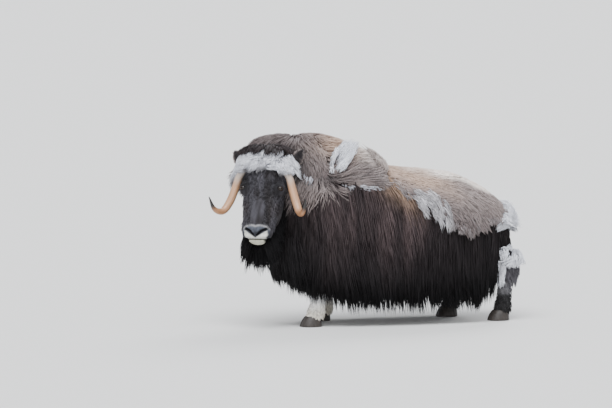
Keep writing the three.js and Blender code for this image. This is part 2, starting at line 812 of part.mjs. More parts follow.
const hoofHigh = 60;
function hoof(x, side) {
  const form = leg(side, 0, [
    [x, legApart, hoofHigh, 50, 54, 48, 0],
    [x - 4, legApart, 38, 58, 66, 52, 0],
    [x - 8, legApart, 16, 63, 76, 54, 0],
    [x - 10, legApart, 0, 65, 80, 54, 0],
  ]);
  const cleft = new THREE.BoxGeometry(110, 9, 90);
  cleft.translate(x - 80, -side * legApart, 26);
  return form.solid(0, 3, 14).subtract(fromGeometry(cleft));
}
const below = (z) => fromGeometry(new THREE.BoxGeometry(3000, 1200, 400).translate(0, 0, z - 200));

// Long hair behind and outside the thighs, and a cuff of pale wool on the near hock
const thighRows = [
  { angle: 180, from: 0.2, to: 0.6, count: 2, tip: () => 385 },
  { angle: 140, from: 0.3, to: 0.62, count: 2, tip: () => 370 },
  { angle: -145, from: 0.36, to: 0.4, count: 1, tip: () => 400 },
];
function thighSolid(side, grow) {
  const form = thigh(side);
  const rows = thighRows.map((row) => ({
    ...row,
    angle: side * row.angle,
    way: downward(0.25),
    shape: { ...hair, layer: 8, sink: 22, flare: 12, thick: 18 },
  }));
  return join([form.solid(grow + 24 * coreReach, 6, 10), ...coat(form, rows, 211 + side, grow)]);
}
function shankSolid(side, grow) {
  const form = shank(side);
  const angles = side > 0 ? [120, 180, 240] : [];
  const rows = angles.map((angle) => ({
    angle,
    from: 0.08,
    to: 0.08,
    count: 1,
    long: 120,
    way: downward(0.15),
    shape: { ...wool, broad: 84, thick: 24, sink: 15, flare: 12 },
  }));
  return join([form.solid(grow, 9, 10), ...coat(form, rows, 241, grow)]);
}

// The short tail under the rump's hair, and the white tufts of wool that stand off the rump
const tail = new Form([
  { x: 800, z: 640, pitch: -60, wide: 34, up: 26, down: 26 },
  { x: 862, z: 600, pitch: -80, wide: 32, up: 26, down: 26 },
  { x: 890, z: 535, pitch: -90, wide: 28, up: 22, down: 24 },
  { x: 896, z: 470, pitch: -90, wide: 16, up: 12, down: 14 },
]);
function tailSolid(grow) {
  const rows = [120, 180, 240].map((angle, index) => ({
    angle,
    from: 0.5 + 0.1 * (index % 2),
    to: 0.6,
    count: 1,
    long: 130,
    way: downward(0.2),
    shape: { ...hair, broad: 56, thick: 16, layer: 4, sink: 14, flare: 14 },
  }));
  return join([tail.solid(grow + 16 * coreReach, 5, 10), ...coat(tail, rows, 263, grow)]);
}
const rump = new Form([
  { x: 800, z: 676, wide: 30, up: 30, down: 60 },
  { x: 835, z: 660, wide: 100, up: 46, down: 80 },
  { x: 885, z: 640, wide: 96, up: 46, down: 78 },
  { x: 920, z: 625, wide: 40, up: 24, down: 36 },
]);
function rumpTuft(grow) {
  const rows = [-80, -40, 0, 40, 80].map((angle) => ({
    angle,
    from: 0.62,
    to: 0.7,
    count: 1,
    long: 104,
    way: (spot, turned) => V(1, -0.4 * Math.sin(rad(turned)), 0.1),
    shape: { ...wool, broad: 84, thick: 32, layer: 2, flare: 20 },
  }));
  return join([rump.solid(grow + lerp(-8, 30, coreReach), 4, 10), ...coat(rump, rows, 281, grow)]);
}

const paint = (color, roughness = 0.9) => new THREE.MeshStandardMaterial({ color, roughness, metalness: 0 });
const finishes = {
  guard: paint(0x231c18),
  saddle: paint(0x2c231e),
  wool: paint(0x85766c),
  mat: paint(0xa08d7d),
  face: paint(0x3a3533),
  white: paint(0xd8d5d2),
  pale: paint(0xb7b1a7),
  horn: paint(0xc08d62, 0.5),
  hoof: paint(0x26221f, 0.6),
  eye: paint(0x0c0908, 0.1),
};

// A node takes the largest piece of its solid, less the neighbours it would cross
const muskox = new THREE.Group();
const placed = [];
const shifts = [-gap, gap].flatMap((d) => [[d, 0, 0], [0, d, 0], [0, 0, d]]);
function addNode(name, finish, solid, ...neighbours) {
  let made = cut(solid, ...neighbours).simplify(trim);
  for (const other of placed) {
    if (made.intersect(other).volume() < 0.002) continue;
    made = cut(made, ...shifts.map((shift) => other.translate(shift)));
  }
  const loose = made.decompose();
  const largest = loose.reduce((best, s) => (s.volume() > best.volume() ? s : best));
  placed.push(largest);
  const { vertProperties, triVerts } = largest.getMesh();
  const geometry = new THREE.BufferGeometry();
  geometry.setAttribute("position", new THREE.Float32BufferAttribute(vertProperties, 3));
  geometry.setIndex([...triVerts]);
  const mesh = new THREE.Mesh(geometry, finish);
  mesh.name = name;
  muskox.add(mesh);
}

const near = {
  torso: torsoSolid(gap),
  neck: neckSolid(gap),
  head: headMass(gap),
  cape: capeSolid(gap),
  brow: forelock(gap),
  mat: mat(gap),
  rump: rumpTuft(gap),
};
const crownWork = [];
const eyeWork = [eyeSolid(1, gap), eyeSolid(-1, gap)];
const legWork = [];
for (const side of [1, -1]) {
  crownWork.push(horn(side, gap), ear(side, gap, false));
  legWork.push(foreSolid(side, gap), thighSolid(side, gap), shankSolid(side, gap));
}
const skirtWork = [skirt(1, gap), skirt(-1, gap)];

addNode("torso", finishes.saddle, torsoSolid(0));
for (const [name, side] of Object.entries(sides)) {
  const floor = below(hoofHigh + gap);
  addNode("leg_front_" + name, finishes.pale, foreSolid(side, 0), near.torso, floor);
  addNode("leg_hind_" + name, finishes.pale, shankSolid(side, 0), near.torso, floor);
  addNode("thigh_" + name, finishes.guard, thighSolid(side, 0), near.torso, shankSolid(side, gap));
  addNode("hoof_front_" + name, finishes.hoof, hoof(-412 + foreStep[side], side));
  addNode("hoof_hind_" + name, finishes.hoof, hoof(832 + hindStep[side], side));
  addNode("skirt_" + name, finishes.guard, skirt(side, 0), near.torso, ...legWork);
  addNode("eye_" + name, finishes.eye, eyeSolid(side, 0));
  addNode("horn_" + name, finishes.horn, horn(side, 0));
  addNode("ear_" + name, finishes.guard, ear(side, 0, false), ear(side, 0, true), horn(side, gap));
}
addNode("head", finishes.face, headSolid());
addNode("forelock", finishes.white, forelock(0), near.head, ...crownWork, ...eyeWork);
const front = [near.torso, near.head, near.brow, ...skirtWork, ...crownWork];
const rear = [near.torso, ...skirtWork, ...legWork];
addNode("neck", finishes.guard, neckSolid(0), ...front, ...legWork);
addNode("cape", finishes.wool, capeSolid(0), ...front, near.neck);
addNode("back_mat", finishes.mat, mat(0), ...rear, near.cape);
addNode("rump_tuft", finishes.white, rumpTuft(0), ...rear, near.mat);
addNode("tail", finishes.guard, tailSolid(0), ...rear, near.mat, near.rump);

// The middle of the whole model stands over the origin
const middle = new THREE.Box3().setFromObject(muskox).getCenter(V());
for (const mesh of muskox.children) mesh.geometry.translate(-middle.x, -middle.y, 0);

export default muskox;
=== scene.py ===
import bpy
import bmesh
import math
import numpy as np
from mathutils import Matrix, Vector


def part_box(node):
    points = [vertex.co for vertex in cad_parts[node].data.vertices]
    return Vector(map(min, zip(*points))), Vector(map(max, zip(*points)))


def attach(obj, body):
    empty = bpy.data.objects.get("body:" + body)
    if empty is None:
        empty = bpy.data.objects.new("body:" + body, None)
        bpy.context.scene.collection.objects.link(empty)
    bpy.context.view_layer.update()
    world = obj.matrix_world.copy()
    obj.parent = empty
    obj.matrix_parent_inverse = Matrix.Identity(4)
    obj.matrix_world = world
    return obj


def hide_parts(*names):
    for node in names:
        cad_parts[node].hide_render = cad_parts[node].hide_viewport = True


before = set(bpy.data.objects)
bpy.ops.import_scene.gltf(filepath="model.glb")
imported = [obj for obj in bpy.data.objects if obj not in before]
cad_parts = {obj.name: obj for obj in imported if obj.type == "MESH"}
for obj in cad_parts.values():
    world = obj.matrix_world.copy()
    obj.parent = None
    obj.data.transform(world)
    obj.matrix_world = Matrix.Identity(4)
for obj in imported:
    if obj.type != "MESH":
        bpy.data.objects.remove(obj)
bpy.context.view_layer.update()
hoofLow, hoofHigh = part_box("hoof_front_left")
footPlace = {"toe": -0.502, "across": -0.165}  # of the near fore hoof, in the body's own stations
hoofMiddle = (hoofLow[1] + hoofHigh[1]) / 2
bodyShift = np.array((hoofLow[0] - footPlace["toe"], hoofMiddle - footPlace["across"], 0.0))
print("frame loaded")


# camera, floor and light

cameraSetup = {"azimuth": -18, "elevation": 5, "away": 40.0, "pixelsPerMetre": 160.0,
               "footPixel": (310.7, 326.5), "photoSize": (612, 408)}


def placeCamera():
    az, el = math.radians(cameraSetup["azimuth"]), math.radians(cameraSetup["elevation"])
    towards = Vector((math.sin(az) * math.cos(el), -math.cos(az) * math.cos(el), math.sin(el)))
    right = Vector((math.cos(az), math.sin(az), 0))
    upward = towards.cross(right)
    low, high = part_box("hoof_front_left")
    sole = Vector(((low[0] + high[0]) / 2, (low[1] + high[1]) / 2, 0))
    scale, size = cameraSetup["pixelsPerMetre"], cameraSetup["photoSize"]
    aim = sole - right * ((cameraSetup["footPixel"][0] - size[0] / 2) / scale)
    aim += upward * ((cameraSetup["footPixel"][1] - size[1] / 2) / scale)
    data = bpy.data.cameras.new("camera")
    data.sensor_width = 36
    data.lens = data.sensor_width * cameraSetup["away"] / (size[0] / scale)
    data.clip_end = 400
    camera = bpy.data.objects.new("camera", data)
    bpy.context.collection.objects.link(camera)
    turn = Matrix((right, upward, towards)).transposed().to_4x4()
    camera.matrix_world = Matrix.Translation(aim + towards * cameraSetup["away"]) @ turn
    bpy.context.scene.camera = camera


def deselectAll():
    bpy.ops.object.select_all(action="DESELECT")


def setInputs(node, values):
    for socket, value in values.items():
        node.inputs[socket].default_value = value


def newMaterial(name, roughness, values=None):
    material = bpy.data.materials.new(name)
    material.use_nodes = True
    shader = material.node_tree.nodes["Principled BSDF"]
    setInputs(shader, {"Roughness": roughness, **(values or {})})
    return material, material.node_tree, shader


def placeStudio():
    deselectAll()
    bpy.ops.mesh.primitive_plane_add(size=320, location=(0, 0, 0))
    floor = bpy.context.object
    floor.name = "floor"
    material = newMaterial("paleFloor", 0.95, {"Base Color": (0.74, 0.73, 0.71, 1)})[0]
    floor.data.materials.append(material)
    lamps = [
        ("overcastSky", (-0.7, -1.5, 3.6), 42, 3.9, (0.94, 0.965, 1.0)),
        ("frontFill", (-3.0, -7.0, 2.4), 40, 1.25, (1.0, 0.985, 0.96)),
        ("rearRim", (3.5, 4.5, 4.5), 30, 1.8, (0.96, 0.975, 1.0)),
    ]
    for name, place, wide, strength, colour in lamps:
        bpy.ops.object.light_add(type="SUN", location=place)
        lamp = bpy.context.object
        lamp.name = name
        lamp.data.angle = math.radians(wide)
        lamp.data.energy = strength
        lamp.data.color = colour
        lamp.rotation_euler = (-Vector(place)).to_track_quat("-Z", "Y").to_euler()
    world = bpy.context.scene.world or bpy.data.worlds.new("world")
    bpy.context.scene.world = world
    world.use_nodes = True
    setInputs(world.node_tree.nodes["Background"], {"Color": (0.86, 0.9, 0.96, 1), "Strength": 0.8})


placeCamera()
placeStudio()
print("camera and studio placed")


# forms of the body: each runs through stations, and a point on it has t along it and an angle round it,
# where 0 is the top of a section and 90 the animal's left

def curveAt(rows, t):
    rows = np.asarray(rows, float)
    last = len(rows) - 1
    padded = np.vstack([2 * rows[0] - rows[1], rows, 2 * rows[-1] - rows[-2]])
    at = np.clip(t, 0, 1) * last
    i = np.minimum(at.astype(int), last - 1)
    w = (at - i)[..., None]
    a, b, c, d = (padded[i + k] for k in range(4))
    start, end = (c - a) / 2, (d - b) / 2
    return b + start * w + (3 * (c - b) - 2 * start - end) * w ** 2 + (2 * (b - c) + start + end) * w ** 3


def headings(yaw, pitch):
    yaw, pitch = np.radians(yaw)[..., None], np.radians(pitch)[..., None]
    up = np.array((0.0, 0.0, 1.0))
    flat = np.concatenate([-np.cos(yaw), -np.sin(yaw), 0 * yaw], axis=-1)
    left = np.cross(up, flat)
    top = -np.sin(pitch) * flat + np.cos(pitch) * up
    ahead = np.cos(pitch) * flat + np.sin(pitch) * up
    return left, top, ahead


def bodyForm(stations, fullness=2.1):
    # rows of x, y, z, half width, up, down, yaw, pitch in metres and degrees
    table = np.array(stations, float)
    centre = table[:, :3] + bodyShift
    return {"centre": centre, "size": table[:, 3:6], "turn": table[:, 6:8], "power": 2 / fullness}


def bodyPlace(points):
    # back to the body's own stations
    return tuple(points[..., k] - bodyShift[k] for k in range(3))


def swell(v, power):
    return np.sign(v) * np.abs(v) ** power


def formPoint(form, t, angle, grow=0.0):
    t, angle = np.broadcast_arrays(np.asarray(t, float), np.asarray(angle, float))
    size, turn = curveAt(form["size"], t), curveAt(form["turn"], t)
    left, top, _ = headings(turn[..., 0], turn[..., 1])
    across, upward = np.sin(np.radians(angle)), np.cos(np.radians(angle))
    tall = np.where(upward > 0, size[..., 1], size[..., 2])
    aside = swell(across, form["power"]) * (size[..., 0] + grow)
    above = swell(upward, form["power"]) * (tall + grow)
    return curveAt(form["centre"], t) + left * aside[..., None] + top * above[..., None]


def unit(v):
    return v / np.maximum(np.linalg.norm(v, axis=-1, keepdims=True), 1e-9)


def dot(a, b):
    return np.sum(a * b, axis=-1, keepdims=True)


def alongSurface(way, out):
    return unit(way - dot(way, out) * out)


def formSlopes(form, t, angle):
    low, high = np.clip(t - 0.01, 0, 1), np.clip(t + 0.01, 0, 1)
    lengthwise = (formPoint(form, high, angle) - formPoint(form, low, angle)) / (high - low)[..., None]
    crosswise = (formPoint(form, t, angle + 2) - formPoint(form, t, angle - 2)) / 4
    return lengthwise, crosswise


def formNormal(form, t, angle):
    lengthwise, crosswise = formSlopes(form, t, angle)
    out = unit(np.cross(lengthwise, crosswise))
    away = formPoint(form, t, angle) - curveAt(form["centre"], t)
    return np.where(dot(out, away) < 0, -out, out)


def flowPaths(form, t, angle, long, lie, steps=9):
    # the way hair takes from its root: over the form where that faces up, and hanging free below it
    t, angle = t.astype(float).copy(), angle.astype(float).copy()
    long = np.broadcast_to(long, t.shape)[:, None]
    spot, out = formPoint(form, t, angle), formNormal(form, t, angle)
    free = np.zeros(len(t), bool)
    spots, outs = [spot.copy()], [out.copy()]
    for _ in range(steps):
        stride = unit(lie(spot, angle))
        free |= (out[:, 2] < -0.02) | (t <= 0.001) | (t >= 0.999)
        lengthwise, crosswise = formSlopes(form, t, angle)
        step = alongSurface(stride, out) * long / steps
        a = dot(lengthwise, lengthwise)[:, 0]
        b = dot(lengthwise, crosswise)[:, 0]
        c = dot(crosswise, crosswise)[:, 0]
        d = dot(lengthwise, step)[:, 0]
        e = dot(crosswise, step)[:, 0]
        even = a * c - b * b
        t = np.where(free, t, np.clip(t + (d * c - e * b) / even, 0, 1))
        angle = np.where(free, angle, angle + (a * e - b * d) / even)
        level = np.column_stack([out[:, :2], np.maximum(0, out[:, 2])])
        hanging = spot + stride * long / steps
        spot = np.where(free[:, None], hanging, formPoint(form, t, angle))
        out = np.where(free[:, None], alongSurface(level, stride), formNormal(form, t, angle))
        spots.append(spot.copy())
        outs.append(out.copy())
    return np.array(spots), np.array(outs)


# the torso, neck, breast, cape, head and legs, as in the frame

bodyLong, bodyHigh, barrelWide, breastX = 1.4, 1.25, 0.285, -0.4998
# shares of the body's length, height and width: x, z, half width, up and down
torsoRows = [
    (0, 0.58, 0.4, 0.12, 0.14), (0.04, 0.59, 0.68, 0.21, 0.2), (0.12, 0.596, 0.86, 0.272, 0.232),
    (0.25, 0.584, 0.96, 0.256, 0.24), (0.429, 0.56, 1, 0.196, 0.224), (0.6, 0.552, 1, 0.18, 0.212),
    (0.757, 0.544, 0.94, 0.164, 0.18), (0.871, 0.512, 0.82, 0.144, 0.16), (0.95, 0.472, 0.58, 0.104, 0.12),
    (0.986, 0.448, 0.26, 0.056, 0.064)]
torsoPlaces = [(breastX + x * bodyLong, 0, z * bodyHigh) for x, z, _, _, _ in torsoRows]
torsoSizes = [(half * barrelWide, up * bodyHigh, down * bodyHigh, 0, 0) for _, _, half, up, down in torsoRows]
torso = bodyForm([(*place, *size) for place, size in zip(torsoPlaces, torsoSizes)], 2.2)
neck = bodyForm([
    (-0.69, -0.04, 0.925, 0.1, 0.095, 0.11, 40, -20), (-0.625, -0.01, 0.9, 0.14, 0.15, 0.185, 30, -8),
    (-0.55, 0.005, 0.85, 0.172, 0.215, 0.275, 14, 2), (-0.47, 0, 0.8, 0.188, 0.27, 0.33, 4, 2),
    (-0.38, 0, 0.78, 0.18, 0.27, 0.32, 0, 0)])
breast = bodyForm([
    (-0.5, 0, 0.64, 0.15, 0.12, 0.11, 0, -90), (-0.502, 0, 0.5, 0.175, 0.108, 0.095, 0, -90),
    (-0.495, 0, 0.36, 0.19, 0.08, 0.07, 0, -90), (-0.48, 0, 0.19, 0.18, 0.03, 0.03, 0, -90)])
cape = bodyForm([
    (-0.748, 0.066, 1.03, 0.05, 0.06, 0.06, 0, 0), (-0.7, 0.058, 1.012, 0.11, 0.132, 0.13, 0, 0),
    (-0.59, 0.036, 0.99, 0.16, 0.178, 0.17, 0, 0), (-0.46, 0.014, 0.975, 0.208, 0.196, 0.19, 0, 0),
    (-0.32, 0, 0.965, 0.262, 0.2, 0.185, 0, 0), (-0.17, 0, 0.945, 0.285, 0.172, 0.165, 0, 0),
    (-0.02, 0, 0.905, 0.275, 0.14, 0.13, 0, 0), (0.07, 0, 0.88, 0.215, 0.086, 0.09, 0, 0)])

headLong, headYaw, headPitch = 0.525, 58, -58
headCrown = np.array((-0.724, -0.124, 1.066)) + bodyShift
headLeft, headTop, headAhead = (v for v in headings(np.array(float(headYaw)), np.array(float(headPitch))))
headFront = headings(np.array(float(headYaw)), np.array(0.0))[2]


def onHead(face, side, rise):
    # a place by its distance down the face, to the side, and over the face, in thousandths of a metre
    return headCrown + headAhead * (face * headLong / 470) + headLeft * side / 1000 + headTop * rise / 1000


def headForm(rows, fullness):
    stations = []
    for face, rise, half, up, down in rows:
        place = onHead(face, 0, rise) - bodyShift
        stations.append((*place, half / 1000, up / 1000, down / 1000, headYaw, headPitch))
    return bodyForm(stations, fullness)


skull = headForm([
    (-112, -132, 78, 56, 62), (-70, -126, 118, 100, 100), (15, -124, 136, 118, 126),
    (110, -122, 142, 112, 134), (205, -114, 122, 94, 110), (300, -106, 103, 74, 80),
    (380, -100, 98, 64, 60), (432, -98, 98, 58, 48), (464, -100, 80, 44, 36), (474, -101, 48, 26, 20)], 2.3)
jaw = headForm([
    (60, -205, 66, 50, 44), (130, -205, 86, 60, 58), (240, -186, 70, 48, 42), (345, -164, 68, 34, 30),
    (415, -154, 68, 28, 28), (450, -152, 54, 20, 20), (460, -152, 30, 11, 11)], 2.2)
brow = headForm([
    (-70, -100, 90, 70, 40), (-40, -92, 160, 96, 60), (18, -92, 182, 104, 70), (60, -98, 172, 104, 70),
    (84, -104, 130, 92, 50)], 2.1)

legApart = 0.165
foreStep, hindStep = {1: 0, -1: 0.165}, {1: 0, -1: -0.23}


def legForm(side, step, rows):
    return bodyForm([(x + step * share, -side * y, z, half, front, back, 0, -90)
                     for x, y, z, half, front, back, share in rows])


def foreLeg(side):
    return legForm(side, foreStep[side], [
        (-0.3, 0.13, 0.6, 0.06, 0.08, 0.08, 0), (-0.308, 0.15, 0.48, 0.066, 0.076, 0.08, 0.15),
        (-0.335, legApart, 0.36, 0.054, 0.056, 0.06, 0.45),
        (-0.368, legApart, 0.25, 0.047, 0.048, 0.046, 0.75),
        (-0.388, legApart, 0.16, 0.04, 0.04, 0.042, 0.95),
        (-0.402, legApart, 0.095, 0.049, 0.048, 0.053, 1), (-0.412, legApart, 0.05, 0.048, 0.052, 0.046, 1)])


def thigh(side):
    return legForm(side, hindStep[side], [
        (0.6, 0.11, 0.69, 0.06, 0.11, 0.12, 0), (0.64, 0.128, 0.6, 0.08, 0.15, 0.15, 0.05),
        (0.69, 0.138, 0.52, 0.08, 0.14, 0.12, 0.2), (0.765, legApart - 0.012, 0.45, 0.064, 0.098, 0.078, 0.5),
        (0.845, legApart, 0.405, 0.05, 0.06, 0.05, 0.85)])


def shank(side):
    return legForm(side, hindStep[side], [
        (0.835, legApart, 0.425, 0.047, 0.058, 0.048, 0.8), (0.882, legApart, 0.375, 0.046, 0.05, 0.05, 0.95),
        (0.876, legApart, 0.31, 0.041, 0.044, 0.044, 0.97), (0.856, legApart, 0.22, 0.04, 0.042, 0.042, 1),
        (0.846, legApart, 0.15, 0.042, 0.042, 0.044, 1), (0.84, legApart, 0.098, 0.048, 0.048, 0.052, 1),
        (0.832, legApart, 0.05, 0.048, 0.052, 0.046, 1)])


tail = bodyForm([
    (0.8, 0, 0.64, 0.034, 0.026, 0.026, 0, -60), (0.862, 0, 0.6, 0.032, 0.026, 0.026, 0, -80),
    (0.89, 0, 0.535, 0.028, 0.022, 0.024, 0, -90), (0.896, 0, 0.47, 0.016, 0.012, 0.014, 0, -90)])
rump = bodyForm([
    (0.8, 0, 0.676, 0.03, 0.03, 0.06, 0, 0), (0.835, 0, 0.66, 0.1, 0.046, 0.08, 0, 0),
    (0.885, 0, 0.64, 0.096, 0.046, 0.078, 0, 0), (0.92, 0, 0.625, 0.04, 0.024, 0.036, 0, 0)])


# markings and painted shade: one set of colour rules that the skin and the coat share

def smoothStep(low, high, v):
    w = np.clip((v - low) / (high - low), 0, 1)
    return w * w * (3 - 2 * w)


def blend(a, b, share):
    share = np.asarray(share, float)[..., None]
    return np.asarray(a, float) * (1 - share) + np.asarray(b, float) * share


def softNoise(points, scale, seed):
    # a smooth field from a few waves, from 0 to 1
    rng = np.random.default_rng(seed)
    total = np.zeros(points.shape[:-1])
    for k in range(7):
        wave = rng.normal(size=3) * scale * (1 + 0.35 * k)
        total += np.sin(points @ wave + rng.uniform(0, 6.283)) / (1 + 0.3 * k)
    return 0.5 + 0.5 * np.tanh(total * 0.8)


# the colours of coat and skin; slit, and black where the face rules use it, are painted shade in the
# nostrils, the mouth line and round the eyes
tintsAndPaintedShade = {
    "black": (0.0060, 0.0056, 0.0062), "guard": (0.024, 0.0195, 0.021), "rust": (0.115, 0.083, 0.084),
    "saddle": (0.4, 0.27, 0.19), "taupe": (0.17, 0.137, 0.135), "wool": (0.34, 0.285, 0.27),
    "cream": (0.94, 0.85, 0.78), "blueWhite": (0.88, 0.89, 0.95), "greyWhite": (0.5, 0.5, 0.55),
    "warm": (0.66, 0.45, 0.32), "mop": (0.034, 0.026, 0.028), "browDark": (0.06, 0.05, 0.05),
    "face": (0.02, 0.0175, 0.019), "faceBlue": (0.07, 0.067, 0.078), "noseGrey": (0.078, 0.085, 0.105),
    "noseRim": (0.27, 0.265, 0.275), "slit": (0.003, 0.003, 0.004), "lip": (0.6, 0.6, 0.56),
    "lowerLip": (0.5, 0.49, 0.4), "legWhite": (0.84, 0.84, 0.86), "legCream": (0.8, 0.75, 0.66),
    "legGrey": (0.09, 0.085, 0.095), "skin": (0.008, 0.007, 0.007)}


def flankColour(points):
    x, _, height = bodyPlace(points)
    streak = softNoise(points * np.array((1, 1, 0.1)), 34, 5)
    broad = softNoise(points * np.array((1, 1, 0.25)), 9, 6)
    high = smoothStep(0.26, 0.72, height + 0.16 * (broad - 0.5)) * (1 - 0.85 * smoothStep(0.22, 0.48, x))
    brown = smoothStep(0.15, 0.5, height) * (1 - 0.6 * smoothStep(0.3, 0.6, x))
    colour = blend(tintsAndPaintedShade["black"], tintsAndPaintedShade["guard"], brown)
    colour = blend(colour, tintsAndPaintedShade["rust"], high * (0.2 + 0.8 * streak) * (0.35 + 0.65 * broad) * 0.85)
    colour = blend(colour, tintsAndPaintedShade["black"], 0.8 * (1 - smoothStep(-0.62, -0.38, x + 0.35 * (height - 0.6))))
    strip = np.exp(-((x - 0.09 - 0.9 * (0.86 - height)) / 0.1) ** 2) * smoothStep(0.66, 0.84, height)
    return blend(colour, tintsAndPaintedShade["saddle"], strip * (0.35 + 0.65 * streak))


# patches of the cape: x and height of each middle, its half sizes, its colour and its strength
capePatches = [
    (-0.65, 1.09, 0.13, 0.09, "mop", 0.9), (-0.5, 1.1, 0.1, 0.05, "mop", 0.4),
    (-0.53, 0.97, 0.07, 0.1, "skin", 0.9), (-0.22, 1.13, 0.15, 0.07, "warm", 0.7),
    (-0.06, 1.09, 0.09, 0.06, "cream", 0.6), (0.04, 1.0, 0.09, 0.09, "wool", 0.8),
    (-0.41, 0.8, 0.09, 0.07, "wool", 0.6), (-0.35, 0.92, 0.06, 0.035, "mop", 0.7),
    (-0.12, 0.85, 0.12, 0.03, "wool", 0.35)]


def capeColour(points, share=0.5):
    field = softNoise(points, 15, 8)
    colour = blend(tintsAndPaintedShade["taupe"], tintsAndPaintedShade["wool"], field * 0.45 + 0.12 * share)
    along, _, height = bodyPlace(points)
    for x, z, wide, tall, name, strength in capePatches:
        patch = strength * np.exp(-((along - x) / wide) ** 2 - ((height - z) / tall) ** 2)
        colour = blend(colour, tintsAndPaintedShade[name], patch)
    return colour


def matColour(points):
    field = softNoise(points * np.array((0.6, 1, 1)), 13, 12)
    along, _, height = bodyPlace(points)
    line = height + 0.32 * (along - 0.3) + 0.05 * (field - 0.5)
    colour = blend(tintsAndPaintedShade["taupe"], tintsAndPaintedShade["wool"], 0.1 + 0.75 * smoothStep(0.7, 0.92, line))
    warmth = 0.5 * smoothStep(0.78, 0.9, line) * (1 - smoothStep(0.3, 0.6, along))
    colour = blend(colour, tintsAndPaintedShade["warm"], warmth)
    return blend(colour, tintsAndPaintedShade["cream"], smoothStep(0.93, 1.0, line))


def headPlaces(points):
    # back to distance down the face, to the side and over it
    rel = points - headCrown
    return rel @ headAhead * 470 / headLong, rel @ headLeft * 1000, rel @ headTop * 1000


muzzle = {"rim": 10, "nostrilOut": (64, 32), "nostrilIn": (12, 66), "mouth": 92, "lipHalf": 48, "chin": 134}


def muzzlePlaces(points):
    # side and drop of each place seen from before the face, with the drop counted from above the nose
    face, side, rise = headPlaces(points)
    return face, np.abs(side), rise, (face - 400) * 0.994 - (rise + 40) * 0.456


def nostrilGap(side, drop):
    (outSide, outDrop), (inSide, inDrop) = muzzle["nostrilOut"], muzzle["nostrilIn"]
    run, fall = inSide - outSide, inDrop - outDrop
    share = np.clip(((side - outSide) * run + (drop - outDrop) * fall) / (run ** 2 + fall ** 2), 0, 1)
    bow = -7 * np.sin(np.pi * share)
    reach = 1.35 - 0.5 * share
    return np.hypot(side - outSide - share * run, drop - outDrop - share * fall - bow) / reach


def headColour(points):
    face, side, rise, drop = muzzlePlaces(points)
    # lighter bluish streaks over the front of the face: partly streaky hair, partly a painted bluish sheen
    streak = softNoise(points - np.outer(points @ headAhead, headAhead) * 0.75, 38, 17)
    colour = blend(tintsAndPaintedShade["face"], tintsAndPaintedShade["faceBlue"], streak * 0.8 * smoothStep(-175, -110, rise))
    under = 1 - smoothStep(-185, -120, rise + 0.25 * (face - 300) * (face > 300))
    colour = blend(colour, tintsAndPaintedShade["black"], under)
    # painted shade: a near-black patch round each eye stands in for the shade in the eye socket
    socket = (face - 170) ** 2 + (side - 108) ** 2 + (rise + 44) ** 2
    colour = blend(colour, tintsAndPaintedShade["black"], 0.95 * np.exp(-socket / 46 ** 2))
    colour = blend(colour, tintsAndPaintedShade["browDark"], 0.4 * np.exp(-((face - 300) / 60) ** 2 - ((side - 88) / 26) ** 2))
    ahead = smoothStep(396, 412, face)
    front = ahead * (1 - smoothStep(80, 92, side)) * (drop < muzzle["mouth"] + 4)
    slit = nostrilGap(side, drop)
    lipLine = muzzle["nostrilOut"][1] + 8 + (muzzle["nostrilOut"][0] - np.minimum(side, 74)) * 0.62
    rimLine = muzzle["rim"] - 3 + 0.008 * (side - 30) ** 2
    # painted shade: the nose pad grows darker toward its lower part, which faces down
    padPaintedShade = 0.75 * smoothStep(20, 70, drop + 16 * (softNoise(points, 70, 18) - 0.5))
    padColour = blend(tintsAndPaintedShade["noseGrey"], tintsAndPaintedShade["black"], padPaintedShade)
    colour = blend(colour, padColour, front * smoothStep(0, 8, drop - rimLine))
    colour = blend(colour, tintsAndPaintedShade["noseRim"], front * np.exp(-((drop - rimLine) / 6.5) ** 2))
    lipEdge = 78 - 0.016 * np.maximum(0, drop - 56) ** 2 + 5 * (softNoise(points, 60, 20) - 0.5)
    lip = front * smoothStep(0, 9, drop - lipLine) * (1 - smoothStep(-9, 3, side - lipEdge))
    colour = blend(colour, tintsAndPaintedShade["lip"], lip)
    low = ahead * (drop >= muzzle["mouth"] + 2) * (rise < -85)
    colour = blend(colour, tintsAndPaintedShade["black"], low)
    lipHalf = muzzle["lipHalf"]
    chin = low * (1 - smoothStep(lipHalf - 6, lipHalf + 6, side)) * (drop < muzzle["chin"])
    colour = blend(colour, tintsAndPaintedShade["lowerLip"], chin)
    # painted shade: a black line along the crease between the lips
    mouth = ahead * (side < 66) * (1 - smoothStep(2.5, 5.5, np.abs(drop - muzzle["mouth"] - 3)))
    colour = blend(colour, tintsAndPaintedShade["black"], mouth)
    # painted shade: the nostril openings are painted near black
    colour = blend(colour, tintsAndPaintedShade["slit"], ahead * (1 - smoothStep(5, 9, slit)))
    forehead = (1 - smoothStep(48, 88, face + 24 * softNoise(points, 60, 23))) * smoothStep(-190, -150, rise)
    colour = blend(colour, tintsAndPaintedShade["greyWhite"], forehead)
    return blend(colour, tintsAndPaintedShade["mop"], 1 - smoothStep(-34, -14, face))


def legColour(points):
    height = points[..., 2]
    colour = blend(tintsAndPaintedShade["legCream"], tintsAndPaintedShade["legWhite"], smoothStep(0.05, 0.2, height))
    hind = points[..., 0] > 0.3
    colour = blend(colour, tintsAndPaintedShade["legGrey"], (1 - smoothStep(0.33, 0.38, height)) * hind * 0.9)
    colour = blend(colour, tintsAndPaintedShade["black"], (1 - smoothStep(0.15, 0.19, height)) * hind * 0.9)
    return blend(colour, tintsAndPaintedShade["guard"], smoothStep(0.43, 0.5, height - 0.05 * hind))


